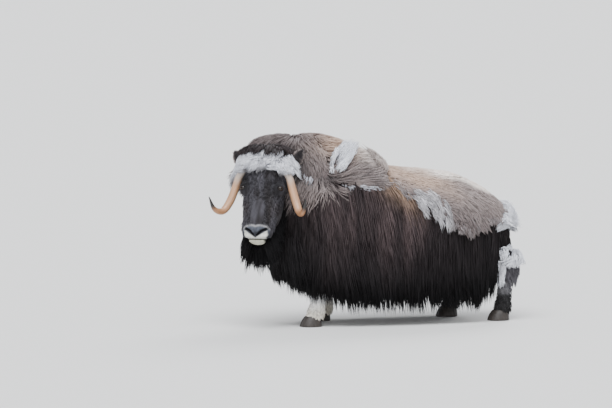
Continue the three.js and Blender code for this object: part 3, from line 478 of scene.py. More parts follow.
def setColour(piece, colours):
    layer = piece.data.color_attributes.new(name="coatTint", type="FLOAT_COLOR", domain="POINT")
    opaque = np.column_stack([colours, np.ones(len(colours))])
    layer.data.foreach_set("color", opaque.astype(np.float32).ravel())


def meshPoints(piece):
    co = np.empty(len(piece.data.vertices) * 3, np.float32)
    piece.data.vertices.foreach_get("co", co)
    return co.reshape(-1, 3).astype(float)


# materials that read the coat's tint

def addNode(tree, kind, values=None):
    node = tree.nodes.new("ShaderNode" + kind)
    setInputs(node, values or {})
    return node


def stretchedPlace(tree, scale):
    place, stretch = addNode(tree, "TexCoord"), addNode(tree, "Mapping", {"Scale": scale})
    tree.links.new(place.outputs["Object"], stretch.inputs["Vector"])
    return stretch


def noiseOn(tree, stretch, scale, detail):
    noise = addNode(tree, "TexNoise", {"Scale": scale, "Detail": detail})
    tree.links.new(stretch.outputs["Vector"], noise.inputs["Vector"])
    return noise


def tintByNoise(tree, shader, noise, span):
    # the coat's tint, made lighter and darker by a noise
    tint = addNode(tree, "Attribute")
    tint.attribute_name = "coatTint"
    spread, mix = addNode(tree, "MapRange", span), addNode(tree, "VectorMath")
    mix.operation = "SCALE"
    tree.links.new(noise.outputs["Fac"], spread.inputs["Value"])
    tree.links.new(tint.outputs["Color"], mix.inputs[0])
    tree.links.new(spread.outputs["Result"], mix.inputs["Scale"])
    tree.links.new(mix.outputs["Vector"], shader.inputs["Base Color"])


def raiseByNoise(tree, shader, noise, values):
    raised = addNode(tree, "Bump", values)
    tree.links.new(noise.outputs["Fac"], raised.inputs["Height"])
    tree.links.new(raised.outputs["Normal"], shader.inputs["Normal"])


def coatMaterial(name, roughness, sheen, mottle, bump=0.0, grain=(4, 4, 0.9), pale=1.25):
    sockets = {"Sheen Weight": sheen, "Sheen Roughness": 0.45, "Specular IOR Level": 0.12}
    material, tree, shader = newMaterial(name, roughness, sockets)
    stretch = stretchedPlace(tree, grain)
    span = {"From Min": 0.3, "From Max": 0.7, "To Min": 1 - mottle, "To Max": pale}
    tintByNoise(tree, shader, noiseOn(tree, stretch, 22, 4), span)
    if bump:
        raiseByNoise(tree, shader, noiseOn(tree, stretch, 95, 3), {"Strength": bump, "Distance": 0.004})
    return material


hairMaterial = coatMaterial("guardHairStrands", 0.6, 0.0, 0.3, grain=(3, 3, 0.6))
woolMaterial = coatMaterial("looseWoolTufts", 0.95, 0.12, 0.12, pale=1.1)
shortFurMaterial = coatMaterial("shortFaceFur", 0.65, 0.05, 0.2)
skinMaterial = coatMaterial("skinUnderFur", 0.62, 0.04, 0.2, bump=0.7, pale=1.12)
print("materials made")


# the skin: rings extruded from station to station, joined and remeshed as one

def sweepRings(name, rings):
    deselectAll()
    bpy.ops.mesh.primitive_circle_add(vertices=len(rings[0]), radius=1, fill_type="NGON")
    piece = bpy.context.object
    piece.name = name
    bpy.ops.object.mode_set(mode="EDIT")
    edit = bmesh.from_edit_mesh(piece.data)
    edit.verts.ensure_lookup_table()
    order = {v.index: i for i, v in enumerate(sorted(edit.verts, key=lambda v: math.atan2(v.co.y, v.co.x)))}
    for v in edit.verts:
        v.co = Vector(rings[0][order[v.index]])
    for ring, before in zip(rings[1:], rings[:-1]):
        bmesh.update_edit_mesh(piece.data)
        bpy.ops.mesh.extrude_region_move()
        edit = bmesh.from_edit_mesh(piece.data)
        moved = [v for v in edit.verts if v.select]
        for v in moved:
            v.co = Vector(ring[int(np.argmin(np.linalg.norm(before - np.array(v.co), axis=1)))])
    bmesh.update_edit_mesh(piece.data)
    bpy.ops.mesh.select_all(action="SELECT")
    bpy.ops.mesh.normals_make_consistent(inside=False)
    bpy.ops.object.mode_set(mode="OBJECT")
    return piece


def sweepForm(name, form, steps, sides, grow=0.0, end=1.0):
    turns = np.arange(sides) * 360.0 / sides
    rings = [formPoint(form, np.full(sides, t), turns, grow) for t in np.linspace(0, end, steps)]
    return sweepRings(name, rings)


def roundMass(name, place, radii, axes, segments=24):
    deselectAll()
    bpy.ops.mesh.primitive_uv_sphere_add(segments=segments, ring_count=segments // 2, radius=1)
    piece = bpy.context.object
    piece.name = name
    turn = Matrix([Vector(a) for a in axes]).transposed().to_4x4()
    piece.data.transform(Matrix.Translation(Vector(place)) @ turn @ Matrix.Diagonal((*radii, 1)))
    return piece


def joinPieces(name, pieces):
    deselectAll()
    for piece in pieces:
        piece.select_set(True)
    bpy.context.view_layer.objects.active = pieces[0]
    bpy.ops.object.join()
    joined = bpy.context.object
    joined.name = name
    return joined


def applyModifier(piece, kind, **settings):
    deselectAll()
    piece.select_set(True)
    bpy.context.view_layer.objects.active = piece
    modifier = piece.modifiers.new(kind.title(), kind)
    for key, value in settings.items():
        setattr(modifier, key, value)
    bpy.ops.object.modifier_apply(modifier=modifier.name)


skinSettings = {"bodyVoxel": 0.011, "headVoxel": 0.0034, "bodySmooth": 8, "headSmooth": 3}
eyeSettings = {"radius": 0.0195, "face": 176, "side": 118, "rise": -44, "ball": (0.016, 0.012, 0.011),
               "iris": (0.02, 0.01, 0.006), "pupil": (0.002, 0.002, 0.002)}


def eyePlace(side):
    return onHead(eyeSettings["face"], side * eyeSettings["side"], eyeSettings["rise"])


def eyeAxes(side):
    look = unit(headLeft * side * 0.62 + headTop * 0.7 + headAhead * 0.3)
    lidUp = alongSurface(-headAhead, look)
    return np.cross(lidUp, look), lidUp, look


def joinFrame(piece, nodes=()):
    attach(piece, "root")
    if nodes:
        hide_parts(*nodes)


def finishPiece(piece, material, slotName, *nodes):
    piece.data.materials.clear()
    piece.data.materials.append(material)
    for polygon in piece.data.polygons:
        polygon.use_smooth = True
    joinFrame(piece, nodes)


def makeBodySkin():
    pieces = [sweepForm("torsoSkin", torso, 17, 28), sweepForm("neckSkin", neck, 9, 24),
              sweepForm("breastSkin", breast, 6, 20, -0.03, 0.6), sweepForm("tailSkin", tail, 8, 12),
              sweepForm("capeSkin", cape, 16, 28, -0.022), sweepForm("rumpSkin", rump, 6, 16, -0.02)]
    for side in (1, -1):
        pieces.append(sweepForm("foreSkin", foreLeg(side), 14, 16))
        pieces.append(sweepForm("thighSkin", thigh(side), 10, 20))
        pieces.append(sweepForm("shankSkin", shank(side), 14, 16))
    body = joinPieces("bodySkin", pieces)
    applyModifier(body, "REMESH", mode="VOXEL", voxel_size=skinSettings["bodyVoxel"])
    applyModifier(body, "SMOOTH", factor=0.5, iterations=skinSettings["bodySmooth"])
    return body


# round masses of the head: face, side and rise of the middle, then half sizes across, along and over the face
pairedMasses = [
    ("orbit", (168, 102, -68), (0.043, 0.056, 0.044)),
    ("nostrilWing", (428, 48, -74), (0.036, 0.034, 0.032)), ("cheek", (250, 82, -140), (0.046, 0.14, 0.056)),
    ("upperLip", (452, 34, -92), (0.046, 0.026, 0.026)),
    ("lipCorner", (420, 62, -112), (0.026, 0.044, 0.026))]
middleMasses = [("noseBridge", (330, 0, -50), (0.05, 0.16, 0.034)),
                ("lowerLip", (450, 0, -132), (0.056, 0.032, 0.034))]


def makeHeadSkin():
    axes = (headLeft, headAhead, headTop)
    pieces = [sweepForm("skullSkin", skull, 30, 36), sweepForm("jawSkin", jaw, 16, 24)]
    for side in (1, -1):
        lids = eyeAxes(side)
        _, lidUp, look = lids
        browPlace = eyePlace(side) + lidUp * 0.021 - look * 0.004
        lidPlace = eyePlace(side) - lidUp * 0.018 - look * 0.002
        pieces.append(roundMass("brow", browPlace, (0.034, 0.012, 0.018), lids))
        pieces.append(roundMass("lowerLid", lidPlace, (0.028, 0.008, 0.014), lids))
        for name, (face, aside, rise), radii in pairedMasses:
            pieces.append(roundMass(name, onHead(face, side * aside, rise), radii, axes))
    for name, place, radii in middleMasses:
        pieces.append(roundMass(name, onHead(*place), radii, axes))
    pieces.append(sweepForm("browSkin", brow, 8, 24, -0.022))
    head = joinPieces("headSkin", pieces)
    applyModifier(head, "REMESH", mode="VOXEL", voxel_size=skinSettings["headVoxel"])
    applyModifier(head, "SMOOTH", factor=0.5, iterations=skinSettings["headSmooth"])
    sculptHead(head)
    applyModifier(head, "SMOOTH", factor=0.35, iterations=1)
    return head


def sculptHead(head):
    points = meshPoints(head)
    moved = points.copy()
    face, side, rise, drop = muzzlePlaces(points)
    signed = headPlaces(points)[1]
    outwards = unit(points - onHead(400, 0, -110))
    ahead = smoothStep(385, 412, face)
    # nostrils: slanting slits that meet low in the middle, each under a raised wing
    slit = np.clip(1 - (nostrilGap(side, drop) / 10) ** 2, 0, 1) * ahead
    moved -= outwards * (slit * 0.016)[:, None]
    wing = np.exp(-((nostrilGap(side, drop + 17) - 2) / 8) ** 2) * ahead
    moved += outwards * (wing * 0.006)[:, None]
    lipRoll = np.exp(-((drop - 80 + 0.1 * side) / 9) ** 2) * ahead * (side < 84)
    moved += outwards * (lipRoll * 0.006)[:, None]
    # the mouth: a groove round the front and back along both cheeks, with the narrower lower lip beyond it
    line = np.abs(drop - muzzle["mouth"] - 2)
    mouth = np.exp(-(line / 5) ** 2) * ahead * (rise < -60)
    moved -= outwards * (mouth * 0.014)[:, None]
    cheekLine = np.exp(-((rise + 118 + 0.22 * (412 - face)) / 4.5) ** 2)
    cheekLine = cheekLine * smoothStep(330, 360, face) * (face < 425) * (side > 60)
    moved -= outwards * (cheekLine * 0.01)[:, None]
    low = (drop > muzzle["mouth"] + 4) * (rise < -85) * ahead
    lowerLip = low * (side < muzzle["lipHalf"]) * 0.008 * smoothStep(0, 10, drop - muzzle["mouth"] - 4)
    moved += headAhead * lowerLip[:, None]
    moved -= headAhead * (low * smoothStep(0, 14, side - muzzle["lipHalf"]) * 0.012)[:, None]
    philtrum = np.exp(-(side / 4.0) ** 2) * (drop > 70) * (drop < muzzle["mouth"]) * ahead
    moved -= outwards * (philtrum * 0.005)[:, None]
    for sign in (1, -1):
        # the eye's opening, its lids and the hollow before it
        right, lidUp, look = eyeAxes(sign)
        rel = points - eyePlace(sign)
        across, up, deep = rel @ right, rel @ lidUp, rel @ look
        opening = (across / 0.024) ** 2 + ((up + 0.001) / 0.0135) ** 2
        inside = (opening < 1) & (deep > 0)
        pressed = np.minimum(0, 0.004 - deep) * np.clip(1 - opening, 0, 1) ** 0.3
        moved += look * np.where(inside, pressed, 0)[:, None]
        rim = np.exp(-((opening - 1.35) / 0.35) ** 2) * (deep > 0)
        moved += look * (rim * 0.0045)[:, None]
        fold = np.exp(-((up - 0.03 - 4 * across ** 2) / 0.004) ** 2)
        fold = fold * (np.abs(across) < 0.04) * (deep > -0.02)
        moved -= look * (fold * 0.004)[:, None]
    hollow = np.exp(-((face - 245) / 50) ** 2 - ((side - 94) / 22) ** 2)
    moved -= headLeft * (np.sign(signed) * hollow * 0.006)[:, None]
    ripple = softNoise(points, 34, 19) - 0.5
    moved += outwards * (ripple * 0.004 * (face < 400))[:, None]
    head.data.vertices.foreach_set("co", moved.astype(np.float32).ravel())
    head.data.update()


def finishSkin(body, head):
    points = meshPoints(body)
    feet = (points[:, 2] < 0.47) & (np.abs(points[:, 1] - bodyShift[1]) > 0.06)
    x, y, z = bodyPlace(points)
    underWool = smoothStep(0.83, 0.88, z + 0.25 * np.abs(y)) * (1 - smoothStep(0.03, 0.07, x))
    colours = blend(flankColour(points), tintsAndPaintedShade["skin"], np.full(len(x), 0.4))
    # painted shade: under the cape wool the skin takes the wool's colour, darkened
    colours = blend(colours, capeColour(points) * 0.6, underWool)
    colours = blend(colours, tintsAndPaintedShade["blueWhite"], smoothStep(0.84, 0.87, x) * smoothStep(0.57, 0.6, z) * 0.7)
    setColour(body, np.where(feet[:, None], legColour(points), colours))
    setColour(head, headColour(meshPoints(head)))
    skin = joinPieces("skin", [body, head])
    finishPiece(skin, skinMaterial, "face_fur", "torso", "head", "thigh_left", "thigh_right",
                "leg_front_left", "leg_front_right", "leg_hind_left", "leg_hind_right")
    print("skin", len(skin.data.polygons), "faces")


finishSkin(makeBodySkin(), makeHeadSkin())


# coats: tufts grow in locks, each lock round a path, and all tufts of a piece are one mesh

goldenShare = 0.6180339887
patchHalf = 0.0014  # half a tuft's patch on the map
coatTotal = []


def noiseWay(points, scale, seed):
    return np.stack([softNoise(points, scale, seed + k) for k in range(3)], axis=-1) - 0.5


def growLocks(spots, outs, coat):
    rng = np.random.default_rng(coat["seed"])
    steps, guides = spots.shape[:2]
    pick = np.repeat(np.arange(guides), coat["count"])
    number = len(pick)
    long = rng.uniform(coat.get("shortest", 0.7), 1.08, number)
    ways = np.gradient(spots, axis=0)
    side = unit(np.cross(ways[0][pick], outs[0][pick]))
    forward = unit(ways[0][pick])
    around = rng.uniform(0, 2 * np.pi, number)
    far = np.sqrt(rng.uniform(0, 1, number)) * coat["spread"]
    offset = side * (np.cos(around) * far)[:, None] + forward * (np.sin(around) * far)[:, None]
    height = rng.uniform(coat["layer"][0], coat["layer"][1], number)
    puff = coat.get("puff", 0.0) * rng.uniform(0.3, 1, number)
    phase = rng.uniform(0, 6.283, number)
    wind = rng.uniform(-1, 1, number) * coat["curl"]
    paths, fronts = [], []
    for share in coat["shares"]:
        at = np.clip(share * long, 0, 1) * (steps - 1)
        i = np.minimum(at.astype(int), steps - 2)
        w = (at - i)[:, None]
        spot = spots[i, pick] * (1 - w) + spots[i + 1, pick] * w
        out = unit(outs[i, pick] * (1 - w) + outs[i + 1, pick] * w)
        across = unit(np.cross(unit(ways[i, pick]), out))
        rise = height * min(1, share * 4) + coat["lift"] * share
        rise = rise + puff * math.sin(math.pi * min(1, share * 1.1))
        rise = rise if share else np.full(number, -coat.get("sink", 0.006))
        bend = wind * np.sin(phase + 4.2 * share) * share
        spot = spot + offset * (1 - coat["pull"] * share)
        paths.append(spot + out * rise[:, None] + across * bend[:, None])
        fronts.append(out)
    return np.array(paths), np.array(fronts), pick


def tuftMesh(name, paths, fronts, broad, thick, taper, rootUv, colours, material):
    # each tuft is a closed blade: flat below, ridged above, drawn out to a point
    rings, number = len(paths) - 1, paths.shape[1]
    ways = np.gradient(paths, axis=0)
    across = unit(np.cross(ways, fronts))
    up = unit(np.cross(across, ways))
    grid, shades = (np.empty((number, 3 * rings + 1, 3)) for _ in range(2))
    patch = np.empty((number, 3 * rings + 1, 2))
    for r in range(rings):
        half = (broad * taper[r] / 2)[:, None]
        grid[:, 3 * r] = paths[r] + across[r] * half
        grid[:, 3 * r + 1] = paths[r] + up[r] * (thick * taper[r])[:, None]
        grid[:, 3 * r + 2] = paths[r] - across[r] * half
        for k in range(3):
            shades[:, 3 * r + k] = colours[r]
            patch[:, 3 * r + k] = rootUv + np.array(((k - 1) * patchHalf, (r / rings - 0.5) * 2 * patchHalf))
    grid[:, -1] = paths[-1]
    shades[:, -1] = colours[-1]
    patch[:, -1] = rootUv + np.array((0, patchHalf))
    faces = [(2, 1, 0)]
    for r in range(rings - 1):
        for k in range(3):
            a, b = 3 * r + k, 3 * r + (k + 1) % 3
            faces += [(a, b, b + 3), (a, b + 3, a + 3)]
    last = 3 * (rings - 1)
    for k in range(3):
        faces.append((last + k, last + (k + 1) % 3, 3 * rings))
    corners = (np.array(faces)[None] + (np.arange(number) * (3 * rings + 1))[:, None, None]).reshape(-1)
    triangles = len(corners) // 3
    mesh = bpy.data.meshes.new(name)
    mesh.vertices.add(number * (3 * rings + 1))
    mesh.vertices.foreach_set("co", grid.astype(np.float32).ravel())
    mesh.loops.add(len(corners))
    mesh.loops.foreach_set("vertex_index", corners.astype(np.int32))
    mesh.polygons.add(triangles)
    mesh.polygons.foreach_set("loop_start", np.arange(0, len(corners), 3, dtype=np.int32))
    mesh.update(calc_edges=True)
    mesh.polygons.foreach_set("use_smooth", np.ones(triangles, bool))
    layer = mesh.uv_layers.new(name="OFBake")
    layer.data.foreach_set("uv", patch.reshape(-1, 2)[corners].astype(np.float32).ravel())
    piece = bpy.data.objects.new(name, mesh)
    bpy.context.collection.objects.link(piece)
    setColour(piece, shades.reshape(-1, 3))
    mesh.materials.append(material)
    coatTotal.append(triangles)
    print(name, triangles, "triangles")
    return piece


def coatPiece(name, form, roots, coat, slotName, *nodes):
    # roots: t, angle, length and lie of each lock; coat: how its tufts grow
    t, angle, long, lie = roots
    spots, outs = flowPaths(form, t, angle, long, lie)
    spots = spots + outs * np.broadcast_to(coat.get("depth", 0.0), t.shape)[:, None]
    spots[..., 2] -= coat.get("drop", 0.0)
    paths, fronts, pick = growLocks(spots, outs, coat)
    rng = np.random.default_rng(coat["seed"] + 1)
    number = len(pick)
    broad = coat["broad"] * rng.uniform(0.7, 1.3, number)
    thick = coat["thick"] * rng.uniform(0.7, 1.3, number)
    vary = coat.get("vary", 0.12)
    tone = rng.uniform(1 - vary, 1 + vary, number)
    tone = (tone * rng.uniform(1 - vary * 0.7, 1 + vary * 0.7, len(t))[pick])[:, None]
    colours = [coat["colour"](paths[k], share) * tone for k, share in enumerate(coat["shares"])]
    uv = np.column_stack([(angle[pick] / 360) % 1, t[pick]])
    uv = 0.004 + 0.992 * np.clip(uv + rng.uniform(-0.5, 0.5, (number, 2)) * coat["spread"], 0, 1)
    piece = tuftMesh(name, paths, fronts, broad, thick, coat["taper"], uv, colours, coat["material"])
    joinFrame(piece, nodes)


def formAt(form, x):
    # t where a lengthwise form passes this x, in body coordinates
    t = np.linspace(0, 1, 400)
    return np.interp(x, curveAt(form["centre"], t)[:, 0] - bodyShift[0], t)


def scatter(number, seed, tRange, angleRange):
    # evenly spread roots in a band of a form
    rng = np.random.default_rng(seed)
    k = np.arange(number)
    t = np.clip((k + 0.5) / number + rng.uniform(-0.5, 0.5, number) / math.sqrt(number), 0, 1)
    turn = np.clip((k * goldenShare) % 1 + rng.uniform(-0.5, 0.5, number) / math.sqrt(number), 0, 1)
    return tRange[0] + (tRange[1] - tRange[0]) * t, angleRange[0] + (angleRange[1] - angleRange[0]) * turn


def scatterSpans(spans, seed):
    # roots in several bands: t low, t high, angle low, angle high and the number of locks
    parts = [scatter(span[4], seed + k, span[:2], span[2:4]) for k, span in enumerate(spans)]
    return (np.concatenate(part) for part in zip(*parts))


# a plain colour, lighter from root to tip: the darker roots are painted shade deep in the coat
def plainTint(name, low, gain):
    return lambda points, share: np.broadcast_to(np.array(tintsAndPaintedShade[name]) * (low + gain * share), points.shape)


def hangDown(slant):
    return lambda spot, angle: np.broadcast_to(np.array((slant, 0.0, -1.0)), spot.shape)


def looseWay(way, scale, seed, disorder):
    return lambda spot, angle: np.array(way) + noiseWay(spot, scale, seed) * disorder


# the hair's colour grows lighter from root to tip: its darker roots are painted shade deep in the coat
hair = {"shares": (0, 0.2, 0.5, 0.8, 1), "taper": (0.7, 1, 0.9, 0.6), "broad": 0.0078, "thick": 0.0028,
        "spread": 0.024, "pull": 0.66, "lift": 0.014, "puff": 0.006, "curl": 0.011, "layer": (0.0, 0.034),
        "colour": lambda points, share: flankColour(points) * (0.8 + 0.4 * share), "material": hairMaterial}
wool = {"shares": (0, 0.35, 0.72, 1), "taper": (0.8, 1, 0.7), "broad": 0.0085, "thick": 0.003,
        "spread": 0.026, "pull": 0.4, "lift": 0.016, "puff": 0.008, "curl": 0.014, "layer": (-0.004, 0.018),
        "vary": 0.09, "material": woolMaterial}
fur = {"shares": (0, 0.5, 1), "taper": (0.9, 1), "broad": 0.0052, "thick": 0.0014,
       "spread": 0.011, "pull": 0.3, "lift": 0.003, "puff": 0.0015, "curl": 0.003, "layer": (-0.002, 0.003),
       "material": shortFurMaterial}
wisps = {**wool, "count": 9, "spread": 0.013, "lift": 0.04, "curl": 0.02, "layer": (0.004, 0.03),
         "broad": 0.006, "thick": 0.0022, "vary": 0.16, "colour": plainTint("blueWhite", 0.75, 0.3)}
puffs = {**wisps, "count": 10, "spread": 0.016, "lift": 0.026, "puff": 0.014, "layer": (0.0, 0.026),
         "vary": 0.14}


def hemLine(x):
    return 0.078 + 0.085 * (1 - smoothStep(-0.43, -0.27, x)) + 0.05 * smoothStep(0.6, 0.74, x)


def flankLie(spot, angle):
    x, _, z = bodyPlace(spot)
    slant = 0.1 + 0.42 * smoothStep(-0.15, 0.25, x) * smoothStep(0.55, 0.8, z)
    slant = slant - 0.1 * smoothStep(0.5, 0.68, x)
    return np.column_stack([slant, 0 * x, -np.ones(len(x))]) + noiseWay(spot, 9, 14) * np.array((0.28, 0, 0))


def flankCoat(side, upper, share, seed):
    number = int((500 if upper else 640) * share)
    name = ("left" if side > 0 else "right") + ("Upper" if upper else "Lower") + "GuardHair"
    rng = np.random.default_rng(seed)
    if upper:
        t, angle = scatter(number, seed, (formAt(torso, -0.42), formAt(torso, 0.75)), (30, 84))
        x = bodyPlace(formPoint(torso, t, angle))[0]
        clear = (x < 0.1) | (angle > matEdge(x) - 16)
        t, angle = t[clear], angle[clear]
    else:
        t, angle = scatter(number, seed, (formAt(torso, -0.45), formAt(torso, 0.765)), (78, 120))
    root = formPoint(torso, t, side * angle)
    hem = hemLine(bodyPlace(root)[0])
    if upper:
        long = np.minimum(root[:, 2] - hem - 0.05, rng.uniform(0.3, 0.52, len(t)))
    else:
        long = root[:, 2] - hem + 0.012 - 0.13 * rng.uniform(0, 1, len(t)) ** 2
    coat = {**hair, "count": 10, "layer": (0.012, 0.048) if upper else (0.002, 0.042), "seed": seed,
            "pull": 0.36, "curl": 0.014, "shortest": 0.76}
    skirt = "skirt_left" if side > 0 else "skirt_right"
    roots = (t, side * angle, np.maximum(long, 0.12), flankLie)
    coatPiece(name, torso, roots, coat, "guard_hair", *(() if upper else (skirt,)))


# the mat's lower edge: x along the body and the angle that it hangs down to
matOutline = [(0.03, 40), (0.06, 49), (0.1, 58), (0.15, 65), (0.22, 71), (0.29, 78), (0.355, 87), (0.42, 95),
              (0.455, 103), (0.485, 110), (0.58, 110), (0.64, 104), (0.705, 92), (0.76, 78), (0.81, 56),
              (0.84, 38)]


def matEdge(x):
    ragged = 3.5 * np.sin(x * 61) + 2.5 * np.sin(x * 143 + 1)
    return np.interp(x, *np.array(matOutline).T) + ragged


for side in (1, -1):
    flankCoat(side, False, 1 if side > 0 else 0.75, 20 + side)
    flankCoat(side, True, 1 if side > 0 else 0.7, 30 + side)

capeKnot = np.array((-0.335, 0.0, 0.925))


def capeLie(spot, angle):
    # hair falls from the crest to a knot behind the ear, and fans out from there over the shoulder
    x, _, z = bodyPlace(spot)
    away = np.column_stack([x - capeKnot[0], 0 * x, z - capeKnot[2]])
    fan = unit(away + np.array((0.05, 0, 0)))
    drift = -0.75 + 1.15 * smoothStep(-0.62, -0.42, x)
    fall = -0.55 - 0.6 * smoothStep(-0.62, -0.5, x)
    sweep = unit(np.column_stack([drift, 0 * x, fall]))
    below = unit(np.column_stack([-0.35 + 0 * x, 0 * x, -np.ones(len(x))]))
    front = sweep + (below - sweep) * (1 - smoothStep(0.84, 0.94, z))[:, None]
    rear = smoothStep(-0.4, -0.27, x)[:, None]
    top = smoothStep(1.04, 1.1, z)[:, None] * rear
    lie = front * (1 - rear) + fan * rear
    lie = lie * (1 - 0.6 * top) + np.array((0.9, 0, -0.25)) * 0.6 * top
    return lie + noiseWay(spot, 10, 31) * 0.5


# the cape's colour, darker toward each tuft's root: painted shade deep in the wool
def capeShade(points, share):
    return capeColour(points, share) * (0.84 + 0.24 * share)


def capeCoat(part, seed):
    bands = [(0.02, 0.38), (0.34, 0.68), (0.64, 0.94)]
    t, angle = scatter(560, seed, bands[part], (-118, 118))
    place = formPoint(cape, t, angle)
    ear = onHead(0, 172, -98) + np.array((0, 0, 0.05))
    overFace = (bodyPlace(place)[0] < -0.56) & (headPlaces(place)[0] > -20)
    keep = (np.linalg.norm(place - ear, axis=1) > 0.06) & ~overFace
    keep &= (t < 0.87) | (np.abs(angle) < 40)
    t, angle = t[keep], angle[keep]
    rng = np.random.default_rng(seed)
    long = rng.uniform(0.08, 0.14, len(t)) * (1 + 0.25 * (np.abs(angle) > 88) - 0.5 * (t > 0.77))
    coat = {**wool, "count": 11, "lift": 0.012, "curl": 0.009, "vary": 0.07, "seed": seed,
            "colour": capeShade}
    nodes = ("cape",) if part == 0 else ()
    coatPiece("capeWool" + "ABC"[part], cape, (t, angle, long, capeLie), coat, "cape_wool", *nodes)


for part in range(3):
    capeCoat(part, 50 + part)


def wispCoat(name, spans, long, lie, seed, **changes):
    # pale loose wool that stands off the cape
    rng = np.random.default_rng(seed)
    t, angle = scatterSpans(spans, seed)
    roots = (t, angle, rng.uniform(*long, len(t)), lie)
    coatPiece(name, cape, roots, {**wisps, "seed": seed, **changes}, "white_wool")


def tuftLie(spot, angle):
    # up at first, and back over the crest higher up
    back = 0.25 + 1.1 * smoothStep(0.98, 1.12, bodyPlace(spot)[2])
    return np.column_stack([back, 0 * angle, 1 + 0 * angle]) + noiseWay(spot, 24, 36)


def whiteTuft(seed):
    # one loose tuft on the side of the crest
    rng = np.random.default_rng(seed)
    number = 84
    far, turn = 1.3 * rng.uniform(0, 1, number) ** 0.8, rng.uniform(0, 6.283, number)
    along, across = far * np.cos(turn), far * np.sin(turn)
    long = rng.uniform(0.05, 0.15, number) * (1.05 - 0.4 * np.abs(across))
    t, angle = 0.615 + 0.046 * along + 0.012 * across, 67 - 15 * along + 14 * across
    coat = {**wisps, "spread": 0.014, "lift": 0.055, "curl": 0.024, "pull": 0.55, "broad": 0.0052,
            "seed": seed}
    coatPiece("whiteWisps", cape, (t, angle, long, tuftLie), coat, "white_wool")


def edgeLie(spot, angle):
    return capeLie(spot, angle) + noiseWay(spot, 30, 37) * 0.5


def lobeColour(points, share):
    return blend(tintsAndPaintedShade["wool"], tintsAndPaintedShade["cream"], 0.3 * share + 0 * points[..., 0])


whiteTuft(57)
edgeSpans = [(0.72, 0.85, 108, 120, 30), (0.61, 0.66, 112, 124, 8), (0.5, 0.54, 118, 134, 10),
             (0.41, 0.46, 92, 112, 12)]
wispCoat("maneEdge", edgeSpans, (0.04, 0.075), edgeLie, 58, lift=0.02, spread=0.009,
         colour=plainTint("greyWhite", 0.75, 0.3))
wispCoat("maneLow", [(0.3, 0.58, 92, 128, 96)], (0.1, 0.2), capeLie, 59, lift=0.02, spread=0.02, pull=0.5,
         layer=(0.022, 0.05), colour=capeShade)
lobeSpans = [(0.88, 0.99, -30, 40, 62), (0.86, 0.97, 40, 70, 16)]
wispCoat("hindLobe", lobeSpans, (0.07, 0.12), looseWay((0.28, 0, 1.0), 22, 38, 0.7), 60, lift=0.03,
         spread=0.018, colour=lobeColour)
print("cape grown")

matSettings = {"thick": 0.052, "locks": 880, "rimLocks": 270, "span": (0.045, 0.835), "hangs": 98,
               "perDegree": 0.0052, "rings": 34, "across": 15, "under": 0.008}


def matLie(spot, angle):
    x, _, z = bodyPlace(spot)
    fall = 0.35 + 1.5 * smoothStep(0.78, 0.56, z)
    return np.column_stack([np.ones(len(x)), 0 * x, -fall]) + noiseWay(spot, 8, 41) * 0.36


def matFelt():
    # the felted sheet under the tufts, thinner at its rim, and painted darker as shade under the tufts
    rings, number = [], matSettings["across"]
    rim = np.clip((number - np.abs(np.arange(number) * 2 - (number - 1))) / 4, 0.7, 1)
    for x in np.linspace(*matSettings["span"], matSettings["rings"]):
        t = np.full(number, formAt(torso, x))
        edge = np.minimum(matEdge(np.array(x)) * 0.97, matSettings["hangs"])
        angle = np.linspace(-edge, edge, number)
        end = 0.55 if x in matSettings["span"] else 1
        thick = matDepth(x, angle) * end * rim
        base, out = formPoint(torso, t, angle), formNormal(torso, t, angle)
        rings.append(np.vstack([base + out * thick[:, None], (base - out * matSettings["under"])[::-1]]))
    felt = sweepRings("matFelt", rings)
    applyModifier(felt, "SUBSURF", levels=2, render_levels=2)
    setColour(felt, matColour(meshPoints(felt)) * 0.8)
    finishPiece(felt, woolMaterial, "mat_wool", "back_mat")


def matDepth(x, angle):
    # the mat thins out over the back, most of all toward the rump
    thinning = (0.3 + 0.36 * smoothStep(0.4, 0.62, x)) * (1 - smoothStep(25, 62, np.abs(angle)))
    return matSettings["thick"] * (1 - thinning)


def matHang(angle):
    # past the side of the body the mat hangs straight down
    beyond = np.maximum(0, np.abs(angle) - matSettings["hangs"])
    return np.clip(angle, -matSettings["hangs"], matSettings["hangs"]), beyond * matSettings["perDegree"]


